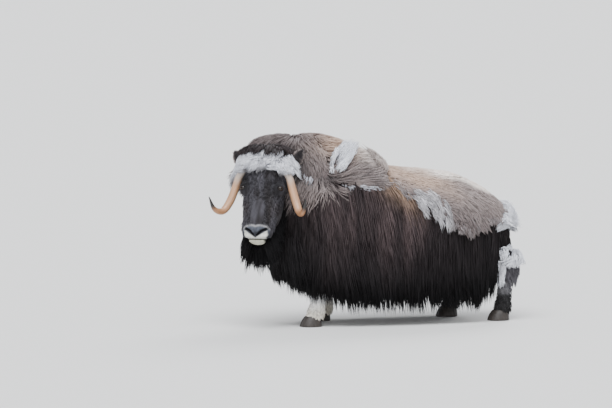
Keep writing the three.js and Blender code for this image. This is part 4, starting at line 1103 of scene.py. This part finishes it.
def matCoat(seed):
    rng = np.random.default_rng(seed)
    number = matSettings["locks"]
    k = np.arange(number)
    x = 0.055 + 0.765 * np.clip((k + rng.uniform(-3, 3, number)) / number, 0, 1)
    angle, drop = matHang((2 * ((k * goldenShare) % 1) - 1) * matEdge(x) * 0.97)
    long = rng.uniform(0.06, 0.11, number) * (1 - 0.5 * smoothStep(0.65, 0.8, x))
    # mat tufts darker toward the root: painted shade deep in the mat
    coat = {**wool, "count": 11, "spread": 0.03, "lift": 0.003, "puff": 0.003, "curl": 0.007,
            "layer": (-0.002, 0.006), "depth": matDepth(x, angle), "drop": drop, "seed": seed, "vary": 0.06,
            "colour": lambda points, share: matColour(points) * (0.8 + 0.25 * share)}
    coatPiece("backMatWool", torso, (formAt(torso, x), angle, long, matLie), coat, "mat_wool")
    number = matSettings["rimLocks"]
    x = np.concatenate([rng.uniform(0.05, 0.83, number // 2), rng.uniform(0.19, 0.45, number - number // 2)])
    side = np.where(rng.uniform(0, 1, number) < 0.6, 1, -1)
    pale = smoothStep(0.17, 0.24, x) * (1 - smoothStep(0.38, 0.46, x))
    angle, drop = matHang(side * (matEdge(x) + 2 - rng.uniform(0, 1, number) * (7 + 13 * pale)))
    long = rng.uniform(0.035, 0.06, number) * (1 + 0.8 * pale)
    rim = {**wool, "count": 9, "spread": 0.016, "curl": 0.02, "layer": (-0.008, 0.012), "broad": 0.0052,
           "thick": 0.002, "depth": matDepth(x, angle) * 0.9, "drop": drop, "seed": seed + 5, "vary": 0.3,
           "colour": rimColour}
    coatPiece("matRim", torso, (formAt(torso, x), angle, long, rimLie), rim, "mat_wool")


def rimLie(spot, angle):
    return matLie(spot, angle) + np.array((-0.2, 0, -0.9)) + noiseWay(spot, 34, 46) * 1.2


# the mat's rim, darker toward each tuft's root: painted shade deep in the fringe
def rimColour(points, share):
    x = bodyPlace(points)[0]
    pale = smoothStep(0.15, 0.24, x) * (1 - smoothStep(0.4, 0.47, x))
    return blend(matColour(points) * 0.95, tintsAndPaintedShade["blueWhite"], 0.08 + 0.4 * pale) * (0.78 + 0.3 * share)


matFelt()
matCoat(61)
print("mat grown")


def breastTip(x):
    return 0.125 + np.maximum(0, -x - 0.45) * 0.88


def breastCoat(seed):
    number = 430
    t, angle = scatter(number, seed, (0.02, 0.42), (-155, 155))
    root = formPoint(breast, t, angle)
    rng = np.random.default_rng(seed)
    long = root[:, 2] - breastTip(bodyPlace(root)[0]) - 0.12 * rng.uniform(0, 1, number) ** 2
    coat = {**hair, "count": 10, "seed": seed}
    coatPiece("breastHair", breast, (t, angle, long, hangDown(0.17)), coat, "guard_hair")


def throatCoat(seed):
    number = 430
    t, angle = scatter(number, seed, (0.0, 0.98), (62, 298))
    root = formPoint(neck, t, angle)
    rng = np.random.default_rng(seed)
    tip = breastTip(bodyPlace(root)[0]) + 0.1
    long = np.clip(root[:, 2] - tip, 0.1, 0.42) * rng.uniform(0.7, 1.05, number)
    under = smoothStep(110, 145, angle) * (1 - smoothStep(215, 250, angle))
    forward = 0.3 * (1 - smoothStep(0.1, 0.5, t)) * under
    long = long * (1 - 0.45 * (1 - smoothStep(0.1, 0.35, t)) * (1 - under))
    lie = np.column_stack([-forward, 0 * forward, -1 + 0 * forward])
    roots = (t, angle, long, lambda spot, turned: lie)
    coatPiece("throatHair", neck, roots, {**hair, "count": 9, "seed": seed}, "guard_hair", "neck")


def beardLie(spot, angle):
    return headLeft * (0.26 * np.sin(np.radians(angle)) + 0.03)[:, None] + np.array((0, 0, -1.0))


def beardCoat(seed):
    number = 430
    t, angle = scatter(number, seed, (0.02, 0.93), (72, 288))
    rng = np.random.default_rng(seed)
    long = 0.215 * rng.uniform(0.65, 1.05, number) * (0.66 + 0.34 * np.abs(np.cos(np.radians(angle))))
    coat = {**hair, "count": 8, "spread": 0.022, "lift": 0.018, "curl": 0.01, "layer": (0.0, 0.02),
            "broad": 0.006, "thick": 0.0024, "pull": 0.3, "seed": seed,
            "colour": plainTint("black", 0.9, 0.6)}
    coatPiece("beardHair", jaw, (t, angle, long, beardLie), coat, "guard_hair")


breastCoat(71)
throatCoat(73)
beardCoat(79)


def browLie(spot, angle):
    way = headAhead * 0.6 + headLeft * (0.9 * np.sin(np.radians(angle)))[:, None]
    return way + np.array((0, 0, 0.05)) + noiseWay(spot, 26, 81) * 1.7


def hangingLie(spot, angle):
    return np.array((0, 0, -1.3)) + browLie(spot, angle) * 0.8


def mopLie(spot, angle):
    way = headAhead * 0.9 + headLeft * (0.5 * np.sin(np.radians(angle)) - 0.35)[:, None]
    return way + noiseWay(spot, 20, 87) * 0.9


# the forehead's colour, darker toward each tuft's root: painted shade deep in the wool
def foreheadColour(points, share):
    face, side, _ = headPlaces(points)
    low = smoothStep(62, 92, face - 0.1 * np.abs(side) + 20 * (softNoise(points, 40, 84) - 0.5))
    colour = blend(tintsAndPaintedShade["blueWhite"], tintsAndPaintedShade["greyWhite"], softNoise(points, 45, 85) * 0.6)
    return blend(colour, tintsAndPaintedShade["browDark"], low * 0.8) * (0.85 + 0.2 * share)


# the mop's colour, much darker toward each tuft's root: painted shade deep in the hair
def mopColour(points, share):
    return blend(tintsAndPaintedShade["mop"], tintsAndPaintedShade["taupe"], 0.25 * softNoise(points, 30, 88)) * (0.58 + 0.42 * share)


def foreheadCoat(seed):
    rng = np.random.default_rng(seed)
    coat = {**wool, "count": 10, "spread": 0.016, "lift": 0.012, "puff": 0.005, "curl": 0.012,
            "layer": (-0.006, 0.008), "broad": 0.0046, "thick": 0.0018, "seed": seed, "vary": 0.14,
            "colour": foreheadColour}
    number = 330
    t, angle = scatter(number, seed, (0.25, 0.84), (-102, 72))
    t = t + 0.1 * (softNoise(formPoint(brow, t, angle), 55, 86) - 0.5)
    roots = (t, angle, rng.uniform(0.03, 0.075, number), browLie)
    coatPiece("foreheadWool", brow, roots, coat, "white_wool", "forelock")
    t, angle = scatterSpans([(0.35, 0.99, -128, -78, 80), (0.25, 0.55, 64, 96, 12)], seed + 1)
    roots = (t, angle, rng.uniform(0.07, 0.14, len(t)), hangingLie)
    coatPiece("browWisps", brow, roots, {**coat, "seed": seed + 3, "lift": 0.03, "curl": 0.02}, "white_wool")
    number = 150
    t, angle = scatter(number, seed + 4, (0.0, 0.2), (-95, 95))
    mop = {**wool, "count": 9, "seed": seed + 5, "lift": 0.024, "broad": 0.0062, "thick": 0.0024,
           "colour": mopColour}
    coatPiece("mopHair", brow, (t, angle, rng.uniform(0.04, 0.075, number), mopLie), mop, "cape_wool")


foreheadCoat(85)


def rumpLie(spot, angle):
    way = np.column_stack([np.ones(len(spot)), -0.45 * np.sin(np.radians(angle)), 0.35 + 0 * angle])
    return way + noiseWay(spot, 26, 91) * 1.5


def rumpCoat(rng, seed):
    number = 190
    t, angle = scatter(number, seed, (0.3, 0.96), (-125, 125))
    coat = {**puffs, "seed": seed}
    roots = (t, angle, rng.uniform(0.05, 0.11, number), rumpLie)
    coatPiece("rumpWool", rump, roots, coat, "white_wool", "rump_tuft")
    number = 110
    x, angle = rng.uniform(0.785, 0.87, number), rng.uniform(38, 98, number)
    lie = looseWay((0.8, -0.1, -0.2), 24, 96, 1.4)
    roots = (formAt(torso, x), angle, rng.uniform(0.05, 0.1, number), lie)
    coat = {**coat, "lift": 0.045, "depth": 0.034, "seed": seed + 7}
    coatPiece("rumpWisps", torso, roots, coat, "white_wool")


def buttockCoat(rng, seed):
    # dark hair over the hindmost part of both sides
    number = 130
    x = rng.uniform(0.74, 0.872, number)
    angle = np.where(np.arange(number) % 2, 1, -1) * rng.uniform(48, 128, number)
    roots = (formAt(torso, x), angle, rng.uniform(0.1, 0.2, number), hangDown(0.12))
    coat = {**hair, "count": 8, "spread": 0.018, "layer": (0.0, 0.014), "depth": 0.012, "seed": seed}
    coatPiece("buttockHair", torso, roots, coat, "guard_hair")


def tailCoat(rng, seed):
    number = 100
    t, angle = scatter(number, seed, (0.2, 0.98), (60, 300))
    roots = (t, angle, rng.uniform(0.06, 0.15, number), hangDown(0.15))
    coat = {**hair, "count": 8, "spread": 0.014, "layer": (0.0, 0.012), "seed": seed + 1}
    coatPiece("tailHair", tail, roots, coat, "guard_hair", "tail")


hindDraws = np.random.default_rng(95)
rumpCoat(hindDraws, 95)
buttockCoat(hindDraws, 104)
tailCoat(hindDraws, 98)


def thighCoat(side, seed):
    number = 190 if side > 0 else 150
    form = thigh(side)
    t, angle = scatter(number, seed, (0.1, 0.92), (60, 300))
    root = formPoint(form, t, angle)
    rng = np.random.default_rng(seed)
    lowest = 0.455 if side > 0 else 0.4
    long = np.clip(root[:, 2] - lowest, 0.04, 0.2) * rng.uniform(0.8, 1.05, number)
    coat = {**hair, "count": 9, "spread": 0.018, "layer": (0.0, 0.02), "seed": seed}
    name = "thighHair" + ("Left" if side > 0 else "Right")
    coatPiece(name, form, (t, angle, long, hangDown(0.1)), coat, "guard_hair")


def legCoat(name, form, tRange, seed):
    number = 300
    t, angle = scatter(number, seed, tRange, (0, 360))
    rng = np.random.default_rng(seed)
    roots = (t, angle, rng.uniform(0.018, 0.032, number), hangDown(0.1))
    # leg fur darker toward the root: painted shade deep in the fur
    coat = {**fur, "count": 7, "seed": seed,
            "colour": lambda points, share: legColour(points) * (0.9 + 0.15 * share)}
    coatPiece(name, form, roots, coat, "leg_fur")


def hockCuff(seed):
    # the pale loose wool over the near hock, the grey hair under it and the rim of white hair before that
    rng = np.random.default_rng(seed)
    pale = {**puffs, "lift": 0.02, "puff": 0.012, "curl": 0.014, "layer": (0.0, 0.034),
            "colour": plainTint("blueWhite", 0.8, 0.25)}
    lie = looseWay((0.05, -0.25, -0.7), 24, 113, 1.4)
    masses = (("hockWool", shank(1), (0.0, 0.15), 110), ("thighWool", thigh(1), (0.76, 0.98), 120))
    for k, (name, form, tRange, number) in enumerate(masses):
        t, angle = scatter(number, seed + k, tRange, (0, 360))
        roots = (t, angle, rng.uniform(0.04, 0.08, number), lie)
        coatPiece(name, form, roots, {**pale, "seed": seed + 5 + k}, "leg_fur")
    number = 110
    t, angle = scatter(number, seed + 2, (0.1, 0.42), (0, 360))
    roots = (t, angle, rng.uniform(0.05, 0.085, number), hangDown(0.1))
    grey = {**hair, "count": 8, "spread": 0.014, "layer": (0.0, 0.012), "lift": 0.002, "puff": 0.004,
            "broad": 0.0062, "seed": seed + 3, "colour": plainTint("legGrey", 0.8, 0.5)}
    coatPiece("hockGrey", shank(1), roots, grey, "leg_fur")
    number = 46
    t, angle = scatter(number, seed + 4, (0.06, 0.42), (14, 50))
    roots = (t, angle, rng.uniform(0.06, 0.1, number), hangDown(-0.08))
    rim = {**pale, "count": 6, "spread": 0.008, "lift": 0.004, "puff": 0.002, "layer": (0.014, 0.02),
           "seed": seed + 8}
    coatPiece("hockRim", shank(1), roots, rim, "leg_fur")


for side, word in ((1, "Left"), (-1, "Right")):
    thighCoat(side, 100 + side)
    legCoat("foreLegFur" + word, foreLeg(side), (0.3, 0.97), 105 + side)
    legCoat("hindLegFur" + word, shank(side), (0.04, 0.97), 108 + side)
hockCuff(111)


def faceLie(spot, angle):
    way = headAhead + headLeft * (0.35 * np.sin(np.radians(angle)))[:, None]
    return way + noiseWay(spot, 22, 122) * 0.7


def faceCoat(seed):
    t, angle = scatter(1350, seed, (0.2, 0.84), (-150, 150))
    root = formPoint(skull, t, angle)
    face = headPlaces(root)[0]
    toEye = np.min([np.linalg.norm(root - eyePlace(side), axis=1) for side in (1, -1)], axis=0)
    furred = ~((face > 398) | (toEye < 0.036))
    t, angle, face = t[furred], angle[furred], face[furred]
    rng = np.random.default_rng(seed)
    long = rng.uniform(0.02, 0.034, len(t)) * (1 + 0.8 * (face < 130))
    # face fur darker toward the root: painted shade deep in the fur
    coat = {**fur, "count": 6, "spread": 0.01, "broad": 0.0048, "thick": 0.0016, "seed": seed,
            "sink": 0.002, "vary": 0.36,
            "colour": lambda points, share: headColour(points) * (0.7 + 0.75 * share)}
    coatPiece("faceFur", skull, (t, angle, long, faceLie), coat, "face_fur")


faceCoat(121)
print("coat total", sum(coatTotal), "triangles")


# horns, ears, eyes and hooves

# the course of a horn: share of its spread, then forward, up and radius in thousandths of a metre
hornSettings = {"spread": 0.62, "rings": 60, "sides": 20, "pale": (0.5, 0.43, 0.38), "tan": (0.5, 0.28, 0.16),
                "amber": (0.42, 0.19, 0.085), "tip": (0.014, 0.011, 0.01), "thinnest": 0.0012,
                "course": [(0.36, -8, -50, 33), (0.51, 0, -120, 29), (0.59, 12, -196, 28),
                           (0.69, 34, -282, 26), (0.8, 78, -336, 22), (0.92, 140, -318, 15),
                           (1, 176, -240, 3)]}


def hornMaterial():
    material, tree, shader = newMaterial("polishedHorn", 0.38, {"Coat Weight": 0.25, "Coat Roughness": 0.3})
    grain = addNode(tree, "Attribute")
    grain.attribute_name = "hornGrain"
    streaks = addNode(tree, "TexNoise", {"Scale": 6, "Detail": 6})
    tree.links.new(grain.outputs["Vector"], streaks.inputs["Vector"])
    tintByNoise(tree, shader, streaks, {"From Min": 0.3, "From Max": 0.7, "To Min": 0.72, "To Max": 1.22})
    raiseByNoise(tree, shader, streaks, {"Strength": 0.4, "Distance": 0.002})
    return material


def makeHorn(side, material):
    word = "left" if side > 0 else "right"
    course = np.array(hornSettings["course"])
    half = hornSettings["spread"] / 2
    knots = headCrown + headLeft * (side * course[:, :1] * half) + headFront * (course[:, 1:2] / 1000)
    knots = knots + np.array((0, 0, 1)) * (course[:, 2:3] / 1000)
    shares = np.linspace(0, 1, hornSettings["rings"])
    path = curveAt(knots, shares)
    radius = np.maximum(hornSettings["thinnest"], curveAt(course[:, 3:] / 1000, shares)[:, 0])
    tangent = unit(np.gradient(path, axis=0))
    forward = alongSurface(np.broadcast_to(headFront, path.shape), tangent)
    outward = np.cross(tangent, forward)
    flat = 0.74 + 0.26 * smoothStep(0, 0.6, shares)
    turns = np.arange(hornSettings["sides"]) * 2 * np.pi / hornSettings["sides"]
    ridges = 1 + 0.018 * np.sin(shares * 95) * (1 - smoothStep(0.1, 0.5, shares))
    rings = []
    for k in range(len(shares)):
        ahead = forward[k] * (np.cos(turns) * radius[k] * ridges[k])[:, None]
        aside = outward[k] * (np.sin(turns) * radius[k] * ridges[k] * flat[k])[:, None]
        rings.append(path[k] + ahead + aside)
    piece = sweepRings("horn" + word.title(), rings)
    points = meshPoints(piece)
    nearest = np.argmin(np.linalg.norm(points[:, None] - path[None], axis=2), axis=1)
    share = shares[nearest]
    colour = blend(hornSettings["pale"], hornSettings["tan"], smoothStep(0.12, 0.34, share))
    colour = blend(colour, hornSettings["amber"], smoothStep(0.5, 0.8, share) * 0.7)
    colour = blend(colour, hornSettings["tip"], smoothStep(0.8, 0.9, share))
    setColour(piece, colour)
    rel = points - path[nearest]
    around = np.arctan2(np.sum(rel * outward[nearest], axis=1), np.sum(rel * forward[nearest], axis=1))
    grain = np.column_stack([share * 1.2, np.cos(around) * 1.6, np.sin(around) * 1.6])
    layer = piece.data.attributes.new(name="hornGrain", type="FLOAT_VECTOR", domain="POINT")
    layer.data.foreach_set("vector", grain.astype(np.float32).ravel())
    finishPiece(piece, material, "horn", "horn_" + word)


polishedHorn = hornMaterial()
for side in (1, -1):
    makeHorn(side, polishedHorn)
print("horns made")

# the ear's root is given down the face and to the side, its lie outward, forward and up
earSettings = {"root": {1: (0, 172), -1: (25, 150)}, "rise": -98, "long": 0.105, "wide": 0.034, "deep": 0.016,
               "lie": {1: (0.5, 0.3, 0.8), -1: (0.42, 0.1, 0.85)}, "rings": 18, "sides": 24, "hairs": 1500,
               "profile": [(-0.12, 0.6), (0.1, 0.74), (0.25, 0.94), (0.4, 1), (0.58, 0.94), (0.75, 0.74),
                           (0.9, 0.42), (1, 0.08)]}


def makeEar(side):
    word = "left" if side > 0 else "right"
    outward, forward, upward = earSettings["lie"][side]
    face, aside = earSettings["root"][side]
    root = onHead(face, side * aside, earSettings["rise"])
    out = unit(headLeft * side * outward + headFront * forward + np.array((0, 0, upward)))
    facing = alongSurface(headFront, out)
    across = np.cross(out, facing)
    profile = np.array(earSettings["profile"])
    places, knots = np.linspace(0, 1, earSettings["rings"]), np.linspace(0, 1, len(profile))
    rings = []
    for share, half in np.column_stack([np.interp(places, knots, profile[:, k]) for k in range(2)]):
        cup = 0.72 * smoothStep(0.12, 0.4, share) * (1 - smoothStep(0.9, 1.0, share))
        ring = []
        for k in range(earSettings["sides"]):
            turn = 2 * math.pi * k / earSettings["sides"]
            lift = math.sin(turn)
            dip = lift * (1 - 1.5 * cup) if lift > 0 else lift
            ring.append(root + out * share * earSettings["long"]
                        + across * math.cos(turn) * earSettings["wide"] * half
                        + facing * dip * earSettings["deep"] * half)
        rings.append(np.array(ring))
    piece = sweepRings("ear" + word.title(), rings)
    applyModifier(piece, "SUBSURF", levels=1, render_levels=1)
    inner = np.clip(((meshPoints(piece) - root) @ facing) / 0.012 + 0.4, 0, 1)
    setColour(piece, blend(tintsAndPaintedShade["face"], tintsAndPaintedShade["browDark"], inner * 0.5))
    finishPiece(piece, skinMaterial, "ear_fur", "ear_" + word)
    return root, out, facing, across


def earFur(side, ear, seed):
    root, out, facing, across = ear
    rng = np.random.default_rng(seed)
    number = earSettings["hairs"]
    share, turn = rng.uniform(0.02, 0.98, number), rng.uniform(0, 2 * np.pi, number)
    half = np.interp(share, *np.array(earSettings["profile"]).T)
    depth = np.sin(turn) * earSettings["deep"] * half * np.where(np.sin(turn) > 0, 0.3, 1)
    place = (root + out * (share * earSettings["long"])[:, None]
             + across * (np.cos(turn) * earSettings["wide"] * half)[:, None] + facing * depth[:, None])
    outs = unit(across * np.cos(turn)[:, None] + facing * np.sin(turn)[:, None] * 1.6)
    way = unit(out + outs * 0.14 + rng.normal(size=(number, 3)) * 0.1)
    long = rng.uniform(0.014, 0.026, number)[:, None]
    paths = np.array([place - outs * 0.002, place + way * long * 0.5, place + way * long + outs * long * 0.1])
    tone = rng.uniform(0.8, 1.3, number)[:, None]
    paleEdge = 0.85 * np.abs(np.cos(turn)) ** 6 * (np.sin(turn) > -0.3)
    base = blend(np.array(tintsAndPaintedShade["face"]) * 1.3, tintsAndPaintedShade["wool"], paleEdge)
    # darker at the root than at the tip: painted shade deep in the fur
    colours = [base * tone * gain for gain in (0.8, 1, 1.15)]
    uv = np.column_stack([turn / 6.2832, share]) * 0.99 + 0.004
    broad, thick = np.full(number, fur["broad"]), np.full(number, fur["thick"])
    name = "earFur" + ("Left" if side > 0 else "Right")
    fronts = np.array([outs] * 3)
    piece = tuftMesh(name, paths, fronts, broad, thick, fur["taper"], uv, colours, fur["material"])
    joinFrame(piece)


for side in (1, -1):
    earFur(side, makeEar(side), 140 + side)


def eyeMaterial():
    sockets = {"Coat Weight": 0.15, "Specular IOR Level": 0.2, "Coat Roughness": 0.03}
    material, tree, shader = newMaterial("wetEye", 0.12, sockets)
    place = addNode(tree, "TexCoord")
    noise = addNode(tree, "TexNoise", {"Scale": 350})
    tree.links.new(place.outputs["Object"], noise.inputs["Vector"])
    tintByNoise(tree, shader, noise, {"To Min": 0.6, "To Max": 1.4})
    return material


def makeEye(side, material):
    word = "left" if side > 0 else "right"
    axes, radius = eyeAxes(side), eyeSettings["radius"]
    eye = roundMass("eye" + word.title(), eyePlace(side), (radius,) * 3, axes, 48)
    points = meshPoints(eye)
    rel = (points - eyePlace(side)) / radius
    across, up, deep = (rel @ axis for axis in axes)
    front = deep > 0
    iris = smoothStep(0.62, 0.54, np.hypot(across, up)) * front
    pupil = smoothStep(0.4, 0.34, np.hypot(across * 0.72, up * 1.9)) * front
    colour = blend(eyeSettings["ball"], eyeSettings["iris"], iris)
    setColour(eye, blend(colour, eyeSettings["pupil"], pupil))
    bulge = (np.exp(-((np.hypot(across, up)) / 0.5) ** 2) * front * 0.0012)[:, None]
    eye.data.vertices.foreach_set("co", (points + axes[2] * bulge).astype(np.float32).ravel())
    finishPiece(eye, material, "eye", "eye_" + word)


wetEye = eyeMaterial()
for side in (1, -1):
    makeEye(side, wetEye)
print("eyes made")

# rows of a hoof: height, how far its front and back draw in, and half its width
hoofSettings = {"cleft": 0.009, "sides": 28, "power": 0.86, "bevel": 0.002, "dark": (0.022, 0.018, 0.016, 1),
                "light": (0.075, 0.06, 0.05, 1),
                "rows": [(0.0, 0, 0, 0.062), (0.006, -0.0005, 0, 0.0635), (0.02, 0.005, 0, 0.062),
                         (0.04, 0.014, 0.002, 0.057), (0.058, 0.027, 0.004, 0.05),
                         (0.066, 0.036, 0.01, 0.044)]}


def hoofMaterial():
    material, tree, shader = newMaterial("dullHoof", 0.55)
    stretch = stretchedPlace(tree, (3, 3, 0.5))
    noise = noiseOn(tree, stretch, 45, 6)
    ramp = addNode(tree, "ValToRGB")
    ramp.color_ramp.elements[0].color = hoofSettings["dark"]
    ramp.color_ramp.elements[1].color = hoofSettings["light"]
    ramp.color_ramp.elements[0].position = 0.35
    tree.links.new(noise.outputs["Fac"], ramp.inputs["Fac"])
    tree.links.new(ramp.outputs["Color"], shader.inputs["Base Color"])
    raiseByNoise(tree, shader, noise, {"Strength": 0.5, "Distance": 0.002})
    return material


def makeHoof(node, name, material):
    low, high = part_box(node)
    middle = (low[1] + high[1]) / 2
    toe, heel = low[0], high[0]
    turns = np.arange(hoofSettings["sides"]) * 2 * np.pi / hoofSettings["sides"]
    along, across = swell(np.cos(turns), hoofSettings["power"]), swell(np.sin(turns), hoofSettings["power"])
    rings = []
    for z, front, back, half in hoofSettings["rows"]:
        centre = ((toe + front) + (heel - back)) / 2
        reach = ((heel - back) - (toe + front)) / 2
        level = np.full(len(turns), z)
        rings.append(np.column_stack([centre + along * reach, middle + across * half, level]))
    piece = sweepRings(name, rings)
    applyModifier(piece, "BEVEL", width=hoofSettings["bevel"], segments=2, angle_limit=0.9)
    deselectAll()
    bpy.ops.mesh.primitive_cube_add(size=1)
    cutter = bpy.context.object
    cutterSize = Matrix.Diagonal((0.1, hoofSettings["cleft"], 0.12, 1))
    cutter.data.transform(Matrix.Translation((toe + 0.03, middle, 0.02)) @ cutterSize)
    applyModifier(piece, "BOOLEAN", object=cutter, operation="DIFFERENCE", solver="EXACT")
    bpy.data.objects.remove(cutter)
    finishPiece(piece, material, "hoof", node)
    deselectAll()
    piece.select_set(True)
    bpy.context.view_layer.objects.active = piece
    bpy.ops.object.shade_smooth_by_angle(angle=0.6)


dullHoof = hoofMaterial()
for pair in ("front", "hind"):
    for sideWord in ("left", "right"):
        makeHoof("hoof_" + pair + "_" + sideWord, "hoof" + pair.title() + sideWord.title(), dullHoof)
print("hooves made")
